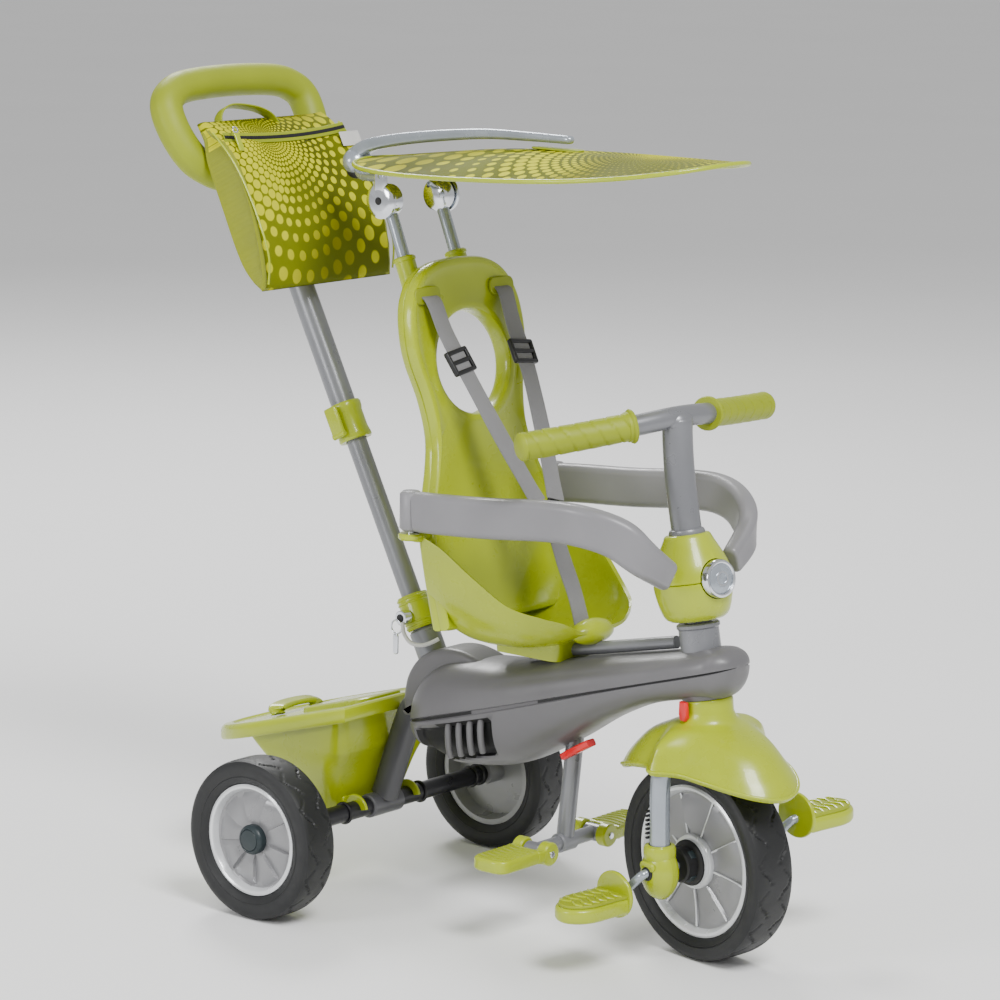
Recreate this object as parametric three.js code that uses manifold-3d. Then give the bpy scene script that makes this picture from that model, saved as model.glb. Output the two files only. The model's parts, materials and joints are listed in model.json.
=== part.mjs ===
// Children's push tricycle: three wheels, body-moulded frame, bucket seat with
// safety bar, tilting canopy, telescopic parent handle with bag, storage bin.
// Millimetres, +Z up, front towards -Y, the rider's left towards +X.
import * as THREE from 'three';
import { mergeVertices } from 'three/addons/utils/BufferGeometryUtils.js';
import Module from 'manifold-3d';

const wasm = await Module();
wasm.setup();

// ---------------------------------------------------------------- driving dimensions
const FRONT_R = 100;
const FRONT_HALF_W = 25;
const REAR_R = 82.5;
const REAR_HALF_W = 22;
const WHEELBASE = 425;
const TRACK = 371;
const FRONT_SEAT = 77;
const REAR_SEAT = 58;
const REAR_HUB_REACH = 21;
const AXLE_ROD_R = 6;
const AXLE_TUBE_R = 9.5;
const GAP = 0.4;
const WHEEL_SIDES = 26;

// steering: raked column, turned to the rider's right at rest
const RAKE = THREE.MathUtils.degToRad(10.5);
const STEER_REST = THREE.MathUtils.degToRad(-11.2);
const COLUMN = new THREE.Vector3(0, 18, 325);
const COLUMN_R = 13.5;
const HEAD_R = 20;
const STEM_R = 15;
const BAR_R = 10.5;
const GRIP_R = 14;
const FORK_HALF = 62;
const FORK_R = 10;
const FRONT_AXLE_Y = 7;
const CRANK_R = 4.5;
const CRANK_THROW_Y = 24;
const CRANK_THROW_Z = -26;
const PEDAL_INNER_X = 98;
const PEDAL_LENGTH = 72;

// body: the seam between the two shells is a plane sloping down to the rear
const SEAM_SLOPE = -0.288;
const SEAM_AT_ZERO = 291.2;
const WALL = 3;
const RAIL_SLOPE = -0.213;
const BODY_TOP_AT_ZERO = 315;
const RAIL_R = 6.5;
const RAIL_LIFT = 7.6;
const SPINE_R = 12;

// parent handle: axis through the socket, leaning back
const POLE_BASE = new THREE.Vector3(0, 358, 253);
const POLE_DIR = new THREE.Vector3(0, 0.4535, 0.8912).normalize();
const POLE_R = 11;
const POLE_UPPER_R = 13.5;
const HANDLE_TOP = 641;
const HANDLE_BOTTOM = 533;
const HANDLE_HALF = 120;
const FOAM_R = 17;
const SOCKET_R = 16;
const LOCK_PIN_R = 4;

// seat
const BACK_SLOPE = 0.2;
const BACK_REAR_Y = 285;
const BACK_REAR_Z = 341;
const BACK_THICK = 22;
const ARM_X = 117;
const ARM_PIN_X = 114;
const ARM_PIN_Y = 292;
const ARM_PIN_R = 4;

// canopy
const CANOPY_PIVOT_Y = 391;
const CANOPY_PIVOT_Z = 722;
const POST_X = 40;
const POST_R = 6.5;
const POST_DIR = new THREE.Vector3(0, 0.374, 0.927).normalize();
const CANOPY_REAR = 446;
const CANOPY_FRONT = -8;
const CANOPY_HALF = 108;
const CANOPY_DROP = 22;

// bin
const BIN_SLOPE = -0.28;
const LID_HINGE_Y = 402;
const LID_TOP_AT_HINGE = 203;

// foot rest
const FOOT_Y = 180;
const FOOT_Z = 86;
const FOOT_PIVOT_X = 48;

const COLORS = {
  green: 0xb9c22e, greyPlastic: 0x777575, greyLight: 0xa5a0a0, silver: 0x98a0a6,
  steel: 0x8c8c90, darkSteel: 0x4a4c4e, tyre: 0x2a2c2c, rim: 0x96948f,
  cap: 0x2b3739, red: 0xd8202c, webbing: 0xa4a2a2, black: 0x111111,
  fabric: 0x8f9a2c, white: 0xf2f2ee,
};

// ---------------------------------------------------------------- helpers
const v = (x, y, z) => new THREE.Vector3(x, y, z);

function material(color, roughness = 0.45, metalness = 0) {
  return new THREE.MeshStandardMaterial({ color, roughness, metalness });
}

// a manifold solid of a closed geometry, turned right side out when needed
function solid(geometry) {
  const bare = geometry.clone();
  bare.deleteAttribute('normal');
  bare.deleteAttribute('uv');
  const merged = mergeVertices(bare, 1e-4);
  const pos = merged.attributes.position.array;
  const tri = [];
  const index = merged.index.array;
  let volume = 0;
  const at = (i) => v(pos[3 * i], pos[3 * i + 1], pos[3 * i + 2]);
  for (let i = 0; i < index.length; i += 3) {
    const [a, b, c] = [index[i], index[i + 1], index[i + 2]];
    if (a === b || b === c || a === c) continue;
    volume += at(a).dot(at(b).cross(at(c)));
    tri.push(a, b, c);
  }
  if (volume < 0) tri.reverse();
  return new wasm.Manifold(new wasm.Mesh({
    numProp: 3,
    vertProperties: Float32Array.from(pos),
    triVerts: Uint32Array.from(tri),
  }));
}

function geometryOf(manifold) {
  const mesh = manifold.getMesh();
  const geometry = new THREE.BufferGeometry();
  geometry.setAttribute('position', new THREE.BufferAttribute(mesh.vertProperties, 3));
  geometry.setIndex(new THREE.BufferAttribute(mesh.triVerts, 1));
  geometry.computeVertexNormals();
  return geometry;
}

const join = (...geometries) => geometryOf(
  geometries.map(solid).reduce((sum, part) => sum.add(part)));
const cut = (geometry, ...tools) => geometryOf(
  tools.map(solid).reduce((rest, tool) => rest.subtract(tool), solid(geometry)));
const common = (a, b) => geometryOf(solid(a).intersect(solid(b)));

// straight round bar between two points
function rod(a, b, radius, sides = 14, endRadius = radius) {
  const axis = b.clone().sub(a);
  const geometry = new THREE.CylinderGeometry(endRadius, radius, axis.length(), sides);
  const turn = new THREE.Quaternion().setFromUnitVectors(v(0, 1, 0), axis.normalize());
  geometry.applyQuaternion(turn);
  const middle = a.clone().add(b).multiplyScalar(0.5);
  return geometry.translate(middle.x, middle.y, middle.z);
}

const pipe = (a, b, outer, inner, sides = 14) => {
  const along = b.clone().sub(a).normalize();
  return cut(rod(a, b, outer, sides),
    rod(a.clone().addScaledVector(along, -1), b.clone().addScaledVector(along, 1), inner, sides));
};

// round tube through hand-chosen points
function tube(points, radius, steps, sides = 12) {
  const circle = new THREE.Shape();
  for (let i = 0; i < sides; i += 1) {
    const a = (i / sides) * 2 * Math.PI;
    const [px, py] = [radius * Math.cos(a), radius * Math.sin(a)];
    if (i === 0) circle.moveTo(px, py);
    else circle.lineTo(px, py);
  }
  circle.closePath();
  const extrudePath = new THREE.CatmullRomCurve3(points, false, 'centripetal');
  return new THREE.ExtrudeGeometry(circle, { extrudePath, steps, bevelEnabled: false });
}

function box(cx, cy, cz, sx, sy, sz) {
  return new THREE.BoxGeometry(sx, sy, sz).translate(cx, cy, cz);
}

const ellipsoid = (c, rx, ry, rz, wide = 12, high = 8) => new THREE.SphereGeometry(
  1, wide, high).scale(rx, ry, rz).translate(c.x, c.y, c.z);

// solid of revolution about the X axis; profile points are [radius, x]. The facets
// touch the true radius, with one of them facing straight down
function wheelTurned(profile, segments) {
  const corner = 1 / Math.cos(Math.PI / segments);
  const points = profile.map(([r, x]) => new THREE.Vector2(r * corner, -x));
  return new THREE.LatheGeometry(points, segments, Math.PI / segments).rotateZ(Math.PI / 2);
}

// solid of revolution about the Z axis; profile points are [radius, z]
function turned(profile, segments) {
  const points = profile.map(([r, z]) => new THREE.Vector2(r, z));
  return new THREE.LatheGeometry(points, segments).rotateX(Math.PI / 2);
}

const ringProfile = (profile) => [...profile, profile[0]];

// closed skin through rings of equal point counts, capped at both ends
function loft(rings, flat) {
  const n = rings[0].length;
  const positions = rings.flat().flatMap((p) => [p.x, p.y, p.z]);
  const index = [];
  for (let r = 0; r + 1 < rings.length; r += 1) {
    for (let i = 0; i < n; i += 1) {
      const j = (i + 1) % n;
      const [a, b, c, d] = [r * n + i, r * n + j, (r + 1) * n + j, (r + 1) * n + i];
      index.push(a, b, c, a, c, d);
    }
  }
  const capOf = (ring) => THREE.ShapeUtils.triangulateShape(ring.map(flat), []);
  const last = (rings.length - 1) * n;
  // caps are triangulated one way round, whichever way the ring itself turns
  const turnsLeft = (ring) => THREE.ShapeUtils.area(ring.map(flat)) > 0;
  for (const [a, b, c] of capOf(rings[0])) {
    if (turnsLeft(rings[0])) index.push(c, b, a);
    else index.push(a, b, c);
  }
  for (const [a, b, c] of capOf(rings[rings.length - 1])) {
    if (turnsLeft(rings[rings.length - 1])) index.push(last + a, last + b, last + c);
    else index.push(last + c, last + b, last + a);
  }
  const geometry = new THREE.BufferGeometry();
  geometry.setAttribute('position', new THREE.Float32BufferAttribute(positions, 3));
  geometry.setIndex(index);
  return geometry;
}

const dropY = (p) => new THREE.Vector2(p.x, p.z);
const dropZ = (p) => new THREE.Vector2(p.x, p.y);

// bar of rounded-rectangle section along a path that stays near level
function bar(points, halfThick, halfHeight, steps, corner = 0.55) {
  const curve = new THREE.CatmullRomCurve3(points, false, 'centripetal');
  const rings = [];
  for (let i = 0; i <= steps; i += 1) {
    const centre = curve.getPoint(i / steps);
    const along = curve.getTangent(i / steps);
    const side = along.clone().cross(v(0, 0, 1)).normalize();
    const up = side.clone().cross(along).normalize();
    const outline = [[1, corner], [corner, 1], [-corner, 1], [-1, corner],
      [-1, -corner], [-corner, -1], [corner, -1], [1, -corner]];
    rings.push(outline.map(([s, u]) => centre.clone()
      .addScaledVector(side, s * halfThick).addScaledVector(up, u * halfHeight)));
  }
  const first = curve.getTangent(0);
  const acrossX = Math.abs(first.x) > Math.abs(first.y);
  return loft(rings, acrossX ? (p) => new THREE.Vector2(p.y, p.z) : dropY);
}

// flat strip of webbing along a path in space, its width lying along X
function strap(points, width, thick, steps) {
  const curve = new THREE.CatmullRomCurve3(points, false, 'centripetal');
  const rings = [];
  for (let i = 0; i <= steps; i += 1) {
    const centre = curve.getPoint(i / steps);
    const along = curve.getTangent(i / steps);
    const side = v(1, 0, 0).addScaledVector(along, -along.x).normalize();
    const up = side.clone().cross(along).normalize();
    rings.push([[1, 1], [-1, 1], [-1, -1], [1, -1]].map(([s, u]) => centre.clone()
      .addScaledVector(side, s * width / 2).addScaledVector(up, u * thick / 2)));
  }
  return loft(rings, (p) => new THREE.Vector2(p.x, p.y - 0.5 * p.z));
}

const mirrored = (geometry) => geometryOf(solid(geometry.clone().scale(-1, 1, 1)));

const trike = new THREE.Group();
const parts = new THREE.Group();
trike.add(parts);

function place(name, geometry, look, parent = parts) {
  const mesh = new THREE.Mesh(geometryOf(solid(geometry)), look);
  mesh.name = name;
  parent.add(mesh);
  return mesh;
}

const seamZ = (y) => SEAM_AT_ZERO + SEAM_SLOPE * y;
const bodyTop = (y) => BODY_TOP_AT_ZERO + RAIL_SLOPE * y;

// ---------------------------------------------------------------- body and frame
// stations along the body: [y, half width, top, bottom]
const BODY = [
  [-33, 9, 304, 296], [-29, 20, 311, 280], [-18, 30, 316, 268], [0, 36, bodyTop(0), 265],
  [60, 39, bodyTop(60), 251], [115, 43, bodyTop(115), 226], [170, 50, bodyTop(170), 191],
  [230, 56, bodyTop(230), 160], [300, 57, 259, 150], [335, 52, 246, 158],
  [356, 36, 222, 169], [364, 12, 198, 177],
];

function bodyRing([y, half, top, bottom], grow) {
  const points = [];
  const count = 16;
  const squareness = 2 / 2.6;
  for (let i = 0; i < count; i += 1) {
    const a = (i / count) * 2 * Math.PI;
    const round = (t) => Math.sign(t) * Math.abs(t) ** squareness;
    const rise = round(Math.sin(a));
    const height = rise > 0 ? top - seamZ(y) : seamZ(y) - bottom;
    points.push(v((half + grow) * round(Math.cos(a)), y, seamZ(y) + (height + grow) * rise));
  }
  return points;
}

function bodyVolume(grow) {
  const rings = BODY.map((station) => bodyRing(station, grow));
  const lengthen = (ring, shift) => ring.map((p) => v(p.x, p.y + shift, p.z));
  rings[0] = lengthen(rings[0], -grow);
  rings[rings.length - 1] = lengthen(rings[rings.length - 1], grow);
  return loft(rings, dropY);
}

const spinePoints = (shift = 0) => [v(0, 42, seamZ(42) - 2), v(0, 180, seamZ(180) - 4),
  v(0, 300, seamZ(300) + 2), v(0, 348, seamZ(348) + 12), v(0, 381, 192),
  v(0, 402, 145), v(0, 421 + shift, 95 - 3 * shift)];

const columnPoint = (t) => COLUMN.clone().add(
  v(0, Math.sin(RAKE), Math.cos(RAKE)).multiplyScalar(t));

function bodyHalf(upper) {
  const hollow = cut(bodyVolume(0), bodyVolume(-WALL));
  const tilt = Math.atan(SEAM_SLOPE);
  const reach = 600;
  const side = upper ? 1 : -1;
  const half = new THREE.BoxGeometry(reach, reach * 2, reach)
    .translate(0, 0, side * (reach / 2 + GAP / 2)).rotateX(tilt)
    .translate(0, 0, SEAM_AT_ZERO);
  return common(hollow, half);
}

const headClearance = () => rod(columnPoint(-90), columnPoint(20), HEAD_R + GAP, 20);
const spineTube = (radius) => tube(spinePoints(4), radius, 18, 10);
const spineClearance = () => spineTube(SPINE_R + GAP);

function upperShell() {
  return cut(bodyHalf(true), headClearance(), spineClearance());
}

function lowerShell() {
  const boss = rod(columnPoint(-62), columnPoint(-46), 25, 20);
  const postHole = rod(v(0, 166, 225), v(0, 179, 100), 9.6, 16);
  const bossOutside = cut(boss, bodyVolume(-WALL));
  const shell = join(bodyHalf(false), bossOutside);
  return cut(shell, headClearance(), spineClearance(), postHole);
}

function mainFrame() {
  const weld = rod(v(-20, WHEELBASE, REAR_R), v(20, WHEELBASE, REAR_R), AXLE_TUBE_R + GAP);
  return cut(spineTube(SPINE_R), weld, headClearance());
}

function rearBridge() {
  const outline = new THREE.Shape();
  outline.moveTo(286, 200);
  outline.lineTo(286, 264);
  outline.lineTo(300, 268);
  outline.lineTo(340, 263);
  outline.absarc(336, 221, 42, Math.PI / 2.4, 0, true);
  outline.lineTo(377, 188);
  outline.lineTo(300, 188);
  const half = 22;
  const band = new THREE.ExtrudeGeometry(outline, { depth: 2 * half, bevelEnabled: false })
    .rotateY(Math.PI / 2).rotateX(Math.PI / 2).translate(-half, 0, 0);
  const socket = rod(polePoint(-12), polePoint(26), SOCKET_R, 16);
  return cut(join(band, socket), bodyVolume(GAP), spineClearance(),
    rod(polePoint(-9), polePoint(40), POLE_R + GAP));
}

function polePoint(s, x = 0, n = 0) {
  const front = v(0, -POLE_DIR.z, POLE_DIR.y);
  return POLE_BASE.clone().addScaledVector(POLE_DIR, s).addScaledVector(front, n)
    .add(v(x, 0, 0));
}

function addFrame() {
  const grey = material(COLORS.greyPlastic, 0.42);
  const steel = material(COLORS.steel, 0.4, 0.6);
  place('upper_shell', upperShell(), grey);
  place('lower_shell', lowerShell(), grey);
  place('main_frame', mainFrame(), steel);
  place('rear_bridge', rearBridge(), material(COLORS.silver, 0.4, 0.2));
  place('head_tube', pipe(columnPoint(-64), columnPoint(10), HEAD_R, COLUMN_R + GAP, 20), steel);
  place('seat_rail', rod(v(0, 46, bodyTop(46) + RAIL_LIFT), v(0, 222, bodyTop(222) + RAIL_LIFT),
    RAIL_R, 12), steel);
  const hubInner = TRACK / 2 - REAR_HUB_REACH;
  place('rear_axle_tube', pipe(v(-hubInner, WHEELBASE, REAR_R), v(hubInner, WHEELBASE, REAR_R),
    AXLE_TUBE_R, AXLE_ROD_R + GAP), material(COLORS.darkSteel, 0.5, 0.6));
  const rodEnd = TRACK / 2 + 11.5;
  place('rear_axle_rod', rod(v(-rodEnd, WHEELBASE, REAR_R), v(rodEnd, WHEELBASE, REAR_R),
    AXLE_ROD_R, 14),
    material(COLORS.silver, 0.3, 0.9));
}

// ---------------------------------------------------------------- wheels
function tyre(radius, half, seat) {
  const side = [[seat, half * 0.75], [radius - 8, half], [radius - 3, half * 0.86],
    [radius, half * 0.5]];
  const other = side.map(([r, x]) => [r, -x]).reverse();
  return wheelTurned(ringProfile([...side, ...other]), WHEEL_SIDES);
}

// outer face towards -X; mirrored for the other side
function rearRim(seat) {
  const r = seat - GAP;
  const bore = AXLE_ROD_R + GAP;
  return wheelTurned(ringProfile([[bore, 20], [13, 20], [13, -2], [r - 6, -2],
    [r - 6, 15], [r, 15], [r, -16], [r - 6, -11], [bore, -11]]), WHEEL_SIDES);
}

function hubCap() {
  return wheelTurned([[0, -12.5], [15.1, -12.5], [15.1, -17], [11, -20], [0, -20.6]], 16);
}

function addRearWheels() {
  for (const [side, sign] of [['right', -1], ['left', 1]]) {
    const put = (name, geometry, look) => {
      const turnedSide = sign < 0 ? geometry : mirrored(geometry);
      place(`${name}_${side}`, turnedSide.clone().translate(sign * TRACK / 2, WHEELBASE, REAR_R),
        look);
    };
    put('rear_tyre', tyre(REAR_R, REAR_HALF_W, REAR_SEAT), material(COLORS.tyre, 0.8));
    put('rear_rim', rearRim(REAR_SEAT), material(COLORS.rim, 0.35, 0.3));
    put('hub_cap', hubCap(), material(COLORS.cap, 0.35));
  }
}

function frontRim() {
  const r = FRONT_SEAT - GAP;
  const half = [[18, 40], [23, 20], [r - 6, 11], [r, 17]];
  const other = half.map(([radius, x]) => [radius, -x]).reverse();
  return wheelTurned(ringProfile([[CRANK_R + GAP, 40], ...half, ...other,
    [CRANK_R + GAP, -40]]), WHEEL_SIDES);
}

// ---------------------------------------------------------------- steered assembly
const steer = new THREE.Group();
const steered = new THREE.Group();

function placeSteering() {
  steer.position.copy(COLUMN);
  steer.quaternion.setFromAxisAngle(v(0, Math.sin(RAKE), Math.cos(RAKE)), STEER_REST);
  steered.position.copy(COLUMN).negate();
  steer.add(steered);
  parts.add(steer);
}

const forkLeg = (sign, radius) => tube([v(0, 3, 217), v(sign * 24, 3, 217.5),
  v(sign * 44, 4, 214.5), v(sign * (FORK_HALF - 3), 5.5, 200), v(sign * FORK_HALF, 6.5, 180),
  v(sign * FORK_HALF, FRONT_AXLE_Y, 130), v(sign * FORK_HALF, FRONT_AXLE_Y, FRONT_R - 12)],
radius, 10, 10);

const axleBore = (radius, half) => rod(v(-half, FRONT_AXLE_Y, FRONT_R),
  v(half, FRONT_AXLE_Y, FRONT_R), radius, 12);

function fork() {
  const column = rod(columnPoint(-113), columnPoint(56), COLUMN_R, 16);
  return cut(join(column, forkLeg(-1, FORK_R), forkLeg(1, FORK_R)),
    axleBore(CRANK_R + 1.2, 90));
}

// dome over the wheel: rings from the neck down to a rolled rim, with a bulge each
// side that covers the top of the fork leg; grow moves the skin outwards
function fenderRing(level, grow) {
  const count = 28;
  const points = [];
  for (let i = 0; i < count; i += 1) {
    const a = (i / count) * 2 * Math.PI;
    const [dx, dy] = [Math.sin(a), Math.cos(a)];
    const bulge = level.bulge * Math.exp(-(((dy * level.a) / 15) ** 2)) * Math.sign(dx);
    const x = (level.b + grow) * dx + (Math.abs(dx) > 0.3 ? bulge : 0);
    const y = level.y + (level.a + grow) * dy;
    const droop = dy > 0 ? level.rear : level.front;
    points.push(v(x, y, level.z - droop * dy * dy + grow * 0.5));
  }
  return points;
}

const FENDER = [
  { z: 252, y: 5, a: 25, b: 25, bulge: 0, rear: 0, front: 0 },
  { z: 243, y: 3, a: 28, b: 28, bulge: 3, rear: 0, front: 0 },
  { z: 238, y: 3, a: 44, b: 36, bulge: 14, rear: 2, front: 1 },
  { z: 227, y: 3, a: 74, b: 45, bulge: 22, rear: 6, front: 4 },
  { z: 212, y: 4, a: 98, b: 55, bulge: 19, rear: 16, front: 12 },
  { z: 204, y: 4, a: 108, b: 61, bulge: 16, rear: 26, front: 18 },
];

function fender() {
  const outer = loft(FENDER.map((level) => fenderRing(level, 0)), dropZ);
  const inner = FENDER.map((level) => fenderRing(level, -3.2));
  const lowered = (ring, drop) => ring.map((p) => v(p.x, p.y, p.z - drop));
  inner.push(lowered(inner[inner.length - 1], 12));
  inner.unshift(inner[0].map((p) => v(p.x, p.y, p.z + 8)));
  return cut(outer, loft(inner, dropZ), forkLeg(-1, FORK_R + GAP), forkLeg(1, FORK_R + GAP));
}

function axleCover(sign) {
  const centre = v(sign * FORK_HALF, FRONT_AXLE_Y, FRONT_R - 2);
  const egg = join(ellipsoid(centre, 17.5, 21, 27, 14, 8),
    rod(centre.clone().add(v(0, 0, 16)), centre.clone().add(v(0, 0, 29)), 14.5, 14));
  return cut(egg, forkLeg(sign, FORK_R + GAP), axleBore(CRANK_R + 1.2, 95));
}

const barTube = (radius) => tube([v(-152, 94, 521), v(-100, 80, 525), v(-46, 59, 532),
  v(0, 50, 536), v(46, 59, 532), v(100, 80, 525), v(152, 94, 521)], radius, 12, 10);

function handlebar() {
  const stem = tube([columnPoint(56.6), columnPoint(78), columnPoint(98), v(0, 45, 470),
    v(0, 49, 505), v(0, 50, 536)], STEM_R, 6, 12);
  return join(stem, barTube(BAR_R));
}

function grip(sign) {
  const path = [v(-158, 96, 520.5), v(-100, 80, 525), v(-48, 60, 531.6)]
    .map((p) => v(-sign * p.x, p.y, p.z));
  const along = path[2].clone().sub(path[0]).normalize();
  const body = tube(path, GRIP_R, 4, 12);
  const flange = rod(path[2].clone().addScaledVector(along, -6),
    path[2].clone().addScaledVector(along, 1), GRIP_R + 3);
  const tip = ellipsoid(path[0], 6, GRIP_R - 0.6, GRIP_R - 0.6, 10, 6);
  return cut(join(body, flange, tip), barTube(BAR_R + GAP));
}

// column parts are turned about Z, then leaned onto the raked column
function onColumn(geometry) {
  return geometry.rotateX(-RAKE).translate(COLUMN.x, COLUMN.y, COLUMN.z);
}

const BADGE_R = 19;
const BADGE_T = 54;
const badgePocket = () => rod(v(0, -60, BADGE_T), v(0, -29.5, BADGE_T), BADGE_R + GAP, 16);

function steeringCover(upper) {
  const bore = STEM_R + GAP;
  const profile = upper
    ? [[bore, 52.4], [39.2, 52.4], [37.6, 64], [31, 80], [22, 92], [18.5, 98], [bore, 98]]
    : [[bore, 12], [23, 12], [32, 24], [38, 40], [39.2, 52], [bore, 52]];
  return onColumn(cut(turned(ringProfile(profile), 20), badgePocket()));
}

function badgeButton() {
  return onColumn(join(rod(v(0, -42, BADGE_T), v(0, -33.6, BADGE_T), BADGE_R, 16),
    rod(v(0, -43.4, BADGE_T), v(0, -41, BADGE_T), BADGE_R - 3.5, 16)));
}

// small red lever on the right of the fender neck, hinged at its upper end
function clutchLever() {
  const plate = new THREE.Shape();
  plate.moveTo(-4.5, 5);
  plate.lineTo(4.5, 5);
  plate.lineTo(5.5, -8);
  plate.lineTo(3, -14);
  plate.lineTo(-3, -14);
  plate.lineTo(-5.5, -8);
  plate.closePath();
  return new THREE.ExtrudeGeometry(plate, { depth: 5, bevelEnabled: false })
    .rotateX(Math.PI / 2).rotateZ(-Math.PI / 2).translate(-33, 7, 259);
}

const pedalAxis = (sign) => ({ y: FRONT_AXLE_Y - sign * CRANK_THROW_Y,
  z: FRONT_R - sign * CRANK_THROW_Z });

function crankAxle() {
  const half = [[166, 1], [120, 1], [104, 1], [97, 1], [92, 0.86], [86, 0.14], [81, 0], [74, 0],
    [50, 0]];
  const at = (x, t) => v(x, FRONT_AXLE_Y + t * CRANK_THROW_Y, FRONT_R + t * CRANK_THROW_Z);
  const right = half.map(([x, t]) => at(-x, t));
  const left = half.map(([x, t]) => at(x, -t));
  return tube([...right, v(0, FRONT_AXLE_Y, FRONT_R), ...left.reverse()], CRANK_R, 30, 8);
}

function pedal(sign) {
  const outline = new THREE.Shape();
  outline.moveTo(0, -22);
  outline.lineTo(40, -25);
  outline.absellipse(40, 0, PEDAL_LENGTH - 40, 25, -Math.PI / 2, Math.PI / 2, false);
  outline.lineTo(0, 22);
  outline.closePath();
  const deck = new THREE.ExtrudeGeometry(outline, {
    depth: 20, curveSegments: 5, bevelEnabled: true, bevelThickness: 2, bevelSize: 2,
    bevelSegments: 1, bevelOffset: -2,
  }).translate(0, 0, -12);
  const flange = rod(v(0, 0, 0), v(4, 0, 0), 27, 16);
  const bore = rod(v(10, 0, 0), v(PEDAL_LENGTH - 2.5, 0, 0), CRANK_R + GAP, 12);
  const mouth = rod(v(-2, 0, 0), v(12, 0, 0), CRANK_R + 2, 12);
  const geometry = cut(join(deck, flange), bore, mouth);
  const sided = sign > 0 ? geometry : mirrored(geometry);
  const axis = pedalAxis(sign);
  return sided.clone().translate(sign * PEDAL_INNER_X, axis.y, axis.z);
}

function addSteering() {
  placeSteering();
  const green = material(COLORS.green, 0.35);
  const silver = material(COLORS.silver, 0.3, 0.8);
  const put = (name, geometry, look) => place(name, geometry, look, steered);
  put('fork', fork(), silver);
  put('fender', fender(), green);
  put('handlebar', handlebar(), material(COLORS.steel, 0.4, 0.6));
  put('steering_cover_upper', steeringCover(true), green);
  put('steering_cover_lower', steeringCover(false), green);
  put('badge_button', badgeButton(), silver);
  put('clutch_lever', clutchLever(), material(COLORS.red, 0.3));
  for (const [side, sign] of [['right', -1], ['left', 1]]) {
    put(`grip_${side}`, grip(sign), green);
    put(`axle_cover_${side}`, axleCover(sign), green);
    put(`pedal_${side}`, pedal(sign), green);
  }
  put('crank_axle', crankAxle(), silver);
  put('front_tyre', tyre(FRONT_R, FRONT_HALF_W, FRONT_SEAT)
    .translate(0, FRONT_AXLE_Y, FRONT_R), material(COLORS.tyre, 0.8));
  put('front_rim', frontRim().clone().translate(0, FRONT_AXLE_Y, FRONT_R),
    material(COLORS.rim, 0.35, 0.3));
}

// ---------------------------------------------------------------- seat
const backRearY = (z) => BACK_REAR_Y + BACK_SLOPE * (z - BACK_REAR_Z);
const postPoint = (sign, along) => v(sign * POST_X, CANOPY_PIVOT_Y, CANOPY_PIVOT_Z)
  .addScaledVector(POST_DIR, along);

function seatShell() {
  // stations from the front lip to the back: [y, half width, floor, rim]
  const stations = [[146, 58, 306, 324], [158, 72, 300, 327], [185, 90, 291, 338],
    [220, 104, 287, 366], [255, 110, 288, 390], [276, 110, 296, 398]];
  const thick = 4;
  const rings = stations.map(([y, half, floor, rim]) => {
    const outer = [];
    const inner = [];
    const steps = 10;
    for (let i = 0; i <= steps; i += 1) {
      const t = (i / steps) * 2 - 1;
      const lift = Math.abs(t) ** 3;
      const x = half * Math.sign(t) * (1 - (1 - Math.abs(t)) ** 1.6);
      outer.push(v(x, y, floor + (rim - floor) * lift));
      inner.push(v(x * (1 - thick / half), y, floor + (rim - floor) * lift
        + thick * (1 - lift)));
    }
    return [...outer, ...inner.reverse()];
  });
  const skirt = box(0, 215, 280, 60, 90, 20);
  const railSlot = rod(v(0, 20, bodyTop(20) + RAIL_LIFT), v(0, 300, bodyTop(300) + RAIL_LIFT),
    RAIL_R + 0.9, 12);
  const topClear = new THREE.BoxGeometry(240, 500, 60).translate(0, 0, -30)
    .rotateX(Math.atan(RAIL_SLOPE)).translate(0, 0, BODY_TOP_AT_ZERO + 1.2);
  return cut(join(loft(rings, dropY), skirt), railSlot, topClear);
}

// half outline of the backrest: [half width, height above the bottom edge]
function backOutline() {
  const half = [[96, 0], [99, 60], [97, 105], [80, 150], [70, 190], [74, 230], [86, 270],
    [88, 300], [82, 330], [64, 354], [36, 366], [0, 369]];
  const curve = new THREE.SplineCurve(half.map(([x, h]) => new THREE.Vector2(x, h)));
  const right = curve.getPoints(13);
  const left = right.slice(0, -1).reverse().map((p) => new THREE.Vector2(-p.x, p.y));
  return new THREE.Shape([...right, ...left]);
}

function seatBack() {
  const shape = backOutline();
  const hole = new THREE.Path();
  hole.absellipse(0, 262, 55, 52, 0, 2 * Math.PI, false);
  shape.holes.push(new THREE.Path(hole.getPoints(8)));
  const bevel = 4;
  const lean = Math.atan(BACK_SLOPE);
  const bottomZ = 302;
  const toBack = (geometry) => geometry.rotateX(Math.PI / 2 - lean)
    .translate(0, backRearY(bottomZ), bottomZ);
  const panel = toBack(new THREE.ExtrudeGeometry(shape, {
    depth: BACK_THICK - 2 * bevel, bevelEnabled: true, bevelThickness: bevel,
    bevelSize: bevel, bevelOffset: -bevel, bevelSegments: 1, curveSegments: 12,
  }).translate(0, 0, bevel));
  const adds = [];
  const tools = [];
  for (const sign of [-1, 1]) {
    adds.push(rod(postPoint(sign, -104), postPoint(sign, -62), 10.5, 16));
    tools.push(rod(postPoint(sign, -92), postPoint(sign, -40), POST_R + GAP, 14));
    tools.push(toBack(box(sign * 58, 334, 10, 26, 8, 60)));
    adds.push(box(sign * 105, ARM_PIN_Y - 1, 400, 26, 22, 8));
    adds.push(rod(v(sign * ARM_PIN_X, ARM_PIN_Y, 398), v(sign * ARM_PIN_X, ARM_PIN_Y, 438),
      ARM_PIN_R, 12));
  }
  return cut(join(panel, ...adds), ...tools, seatShellEnvelope());
}

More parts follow.
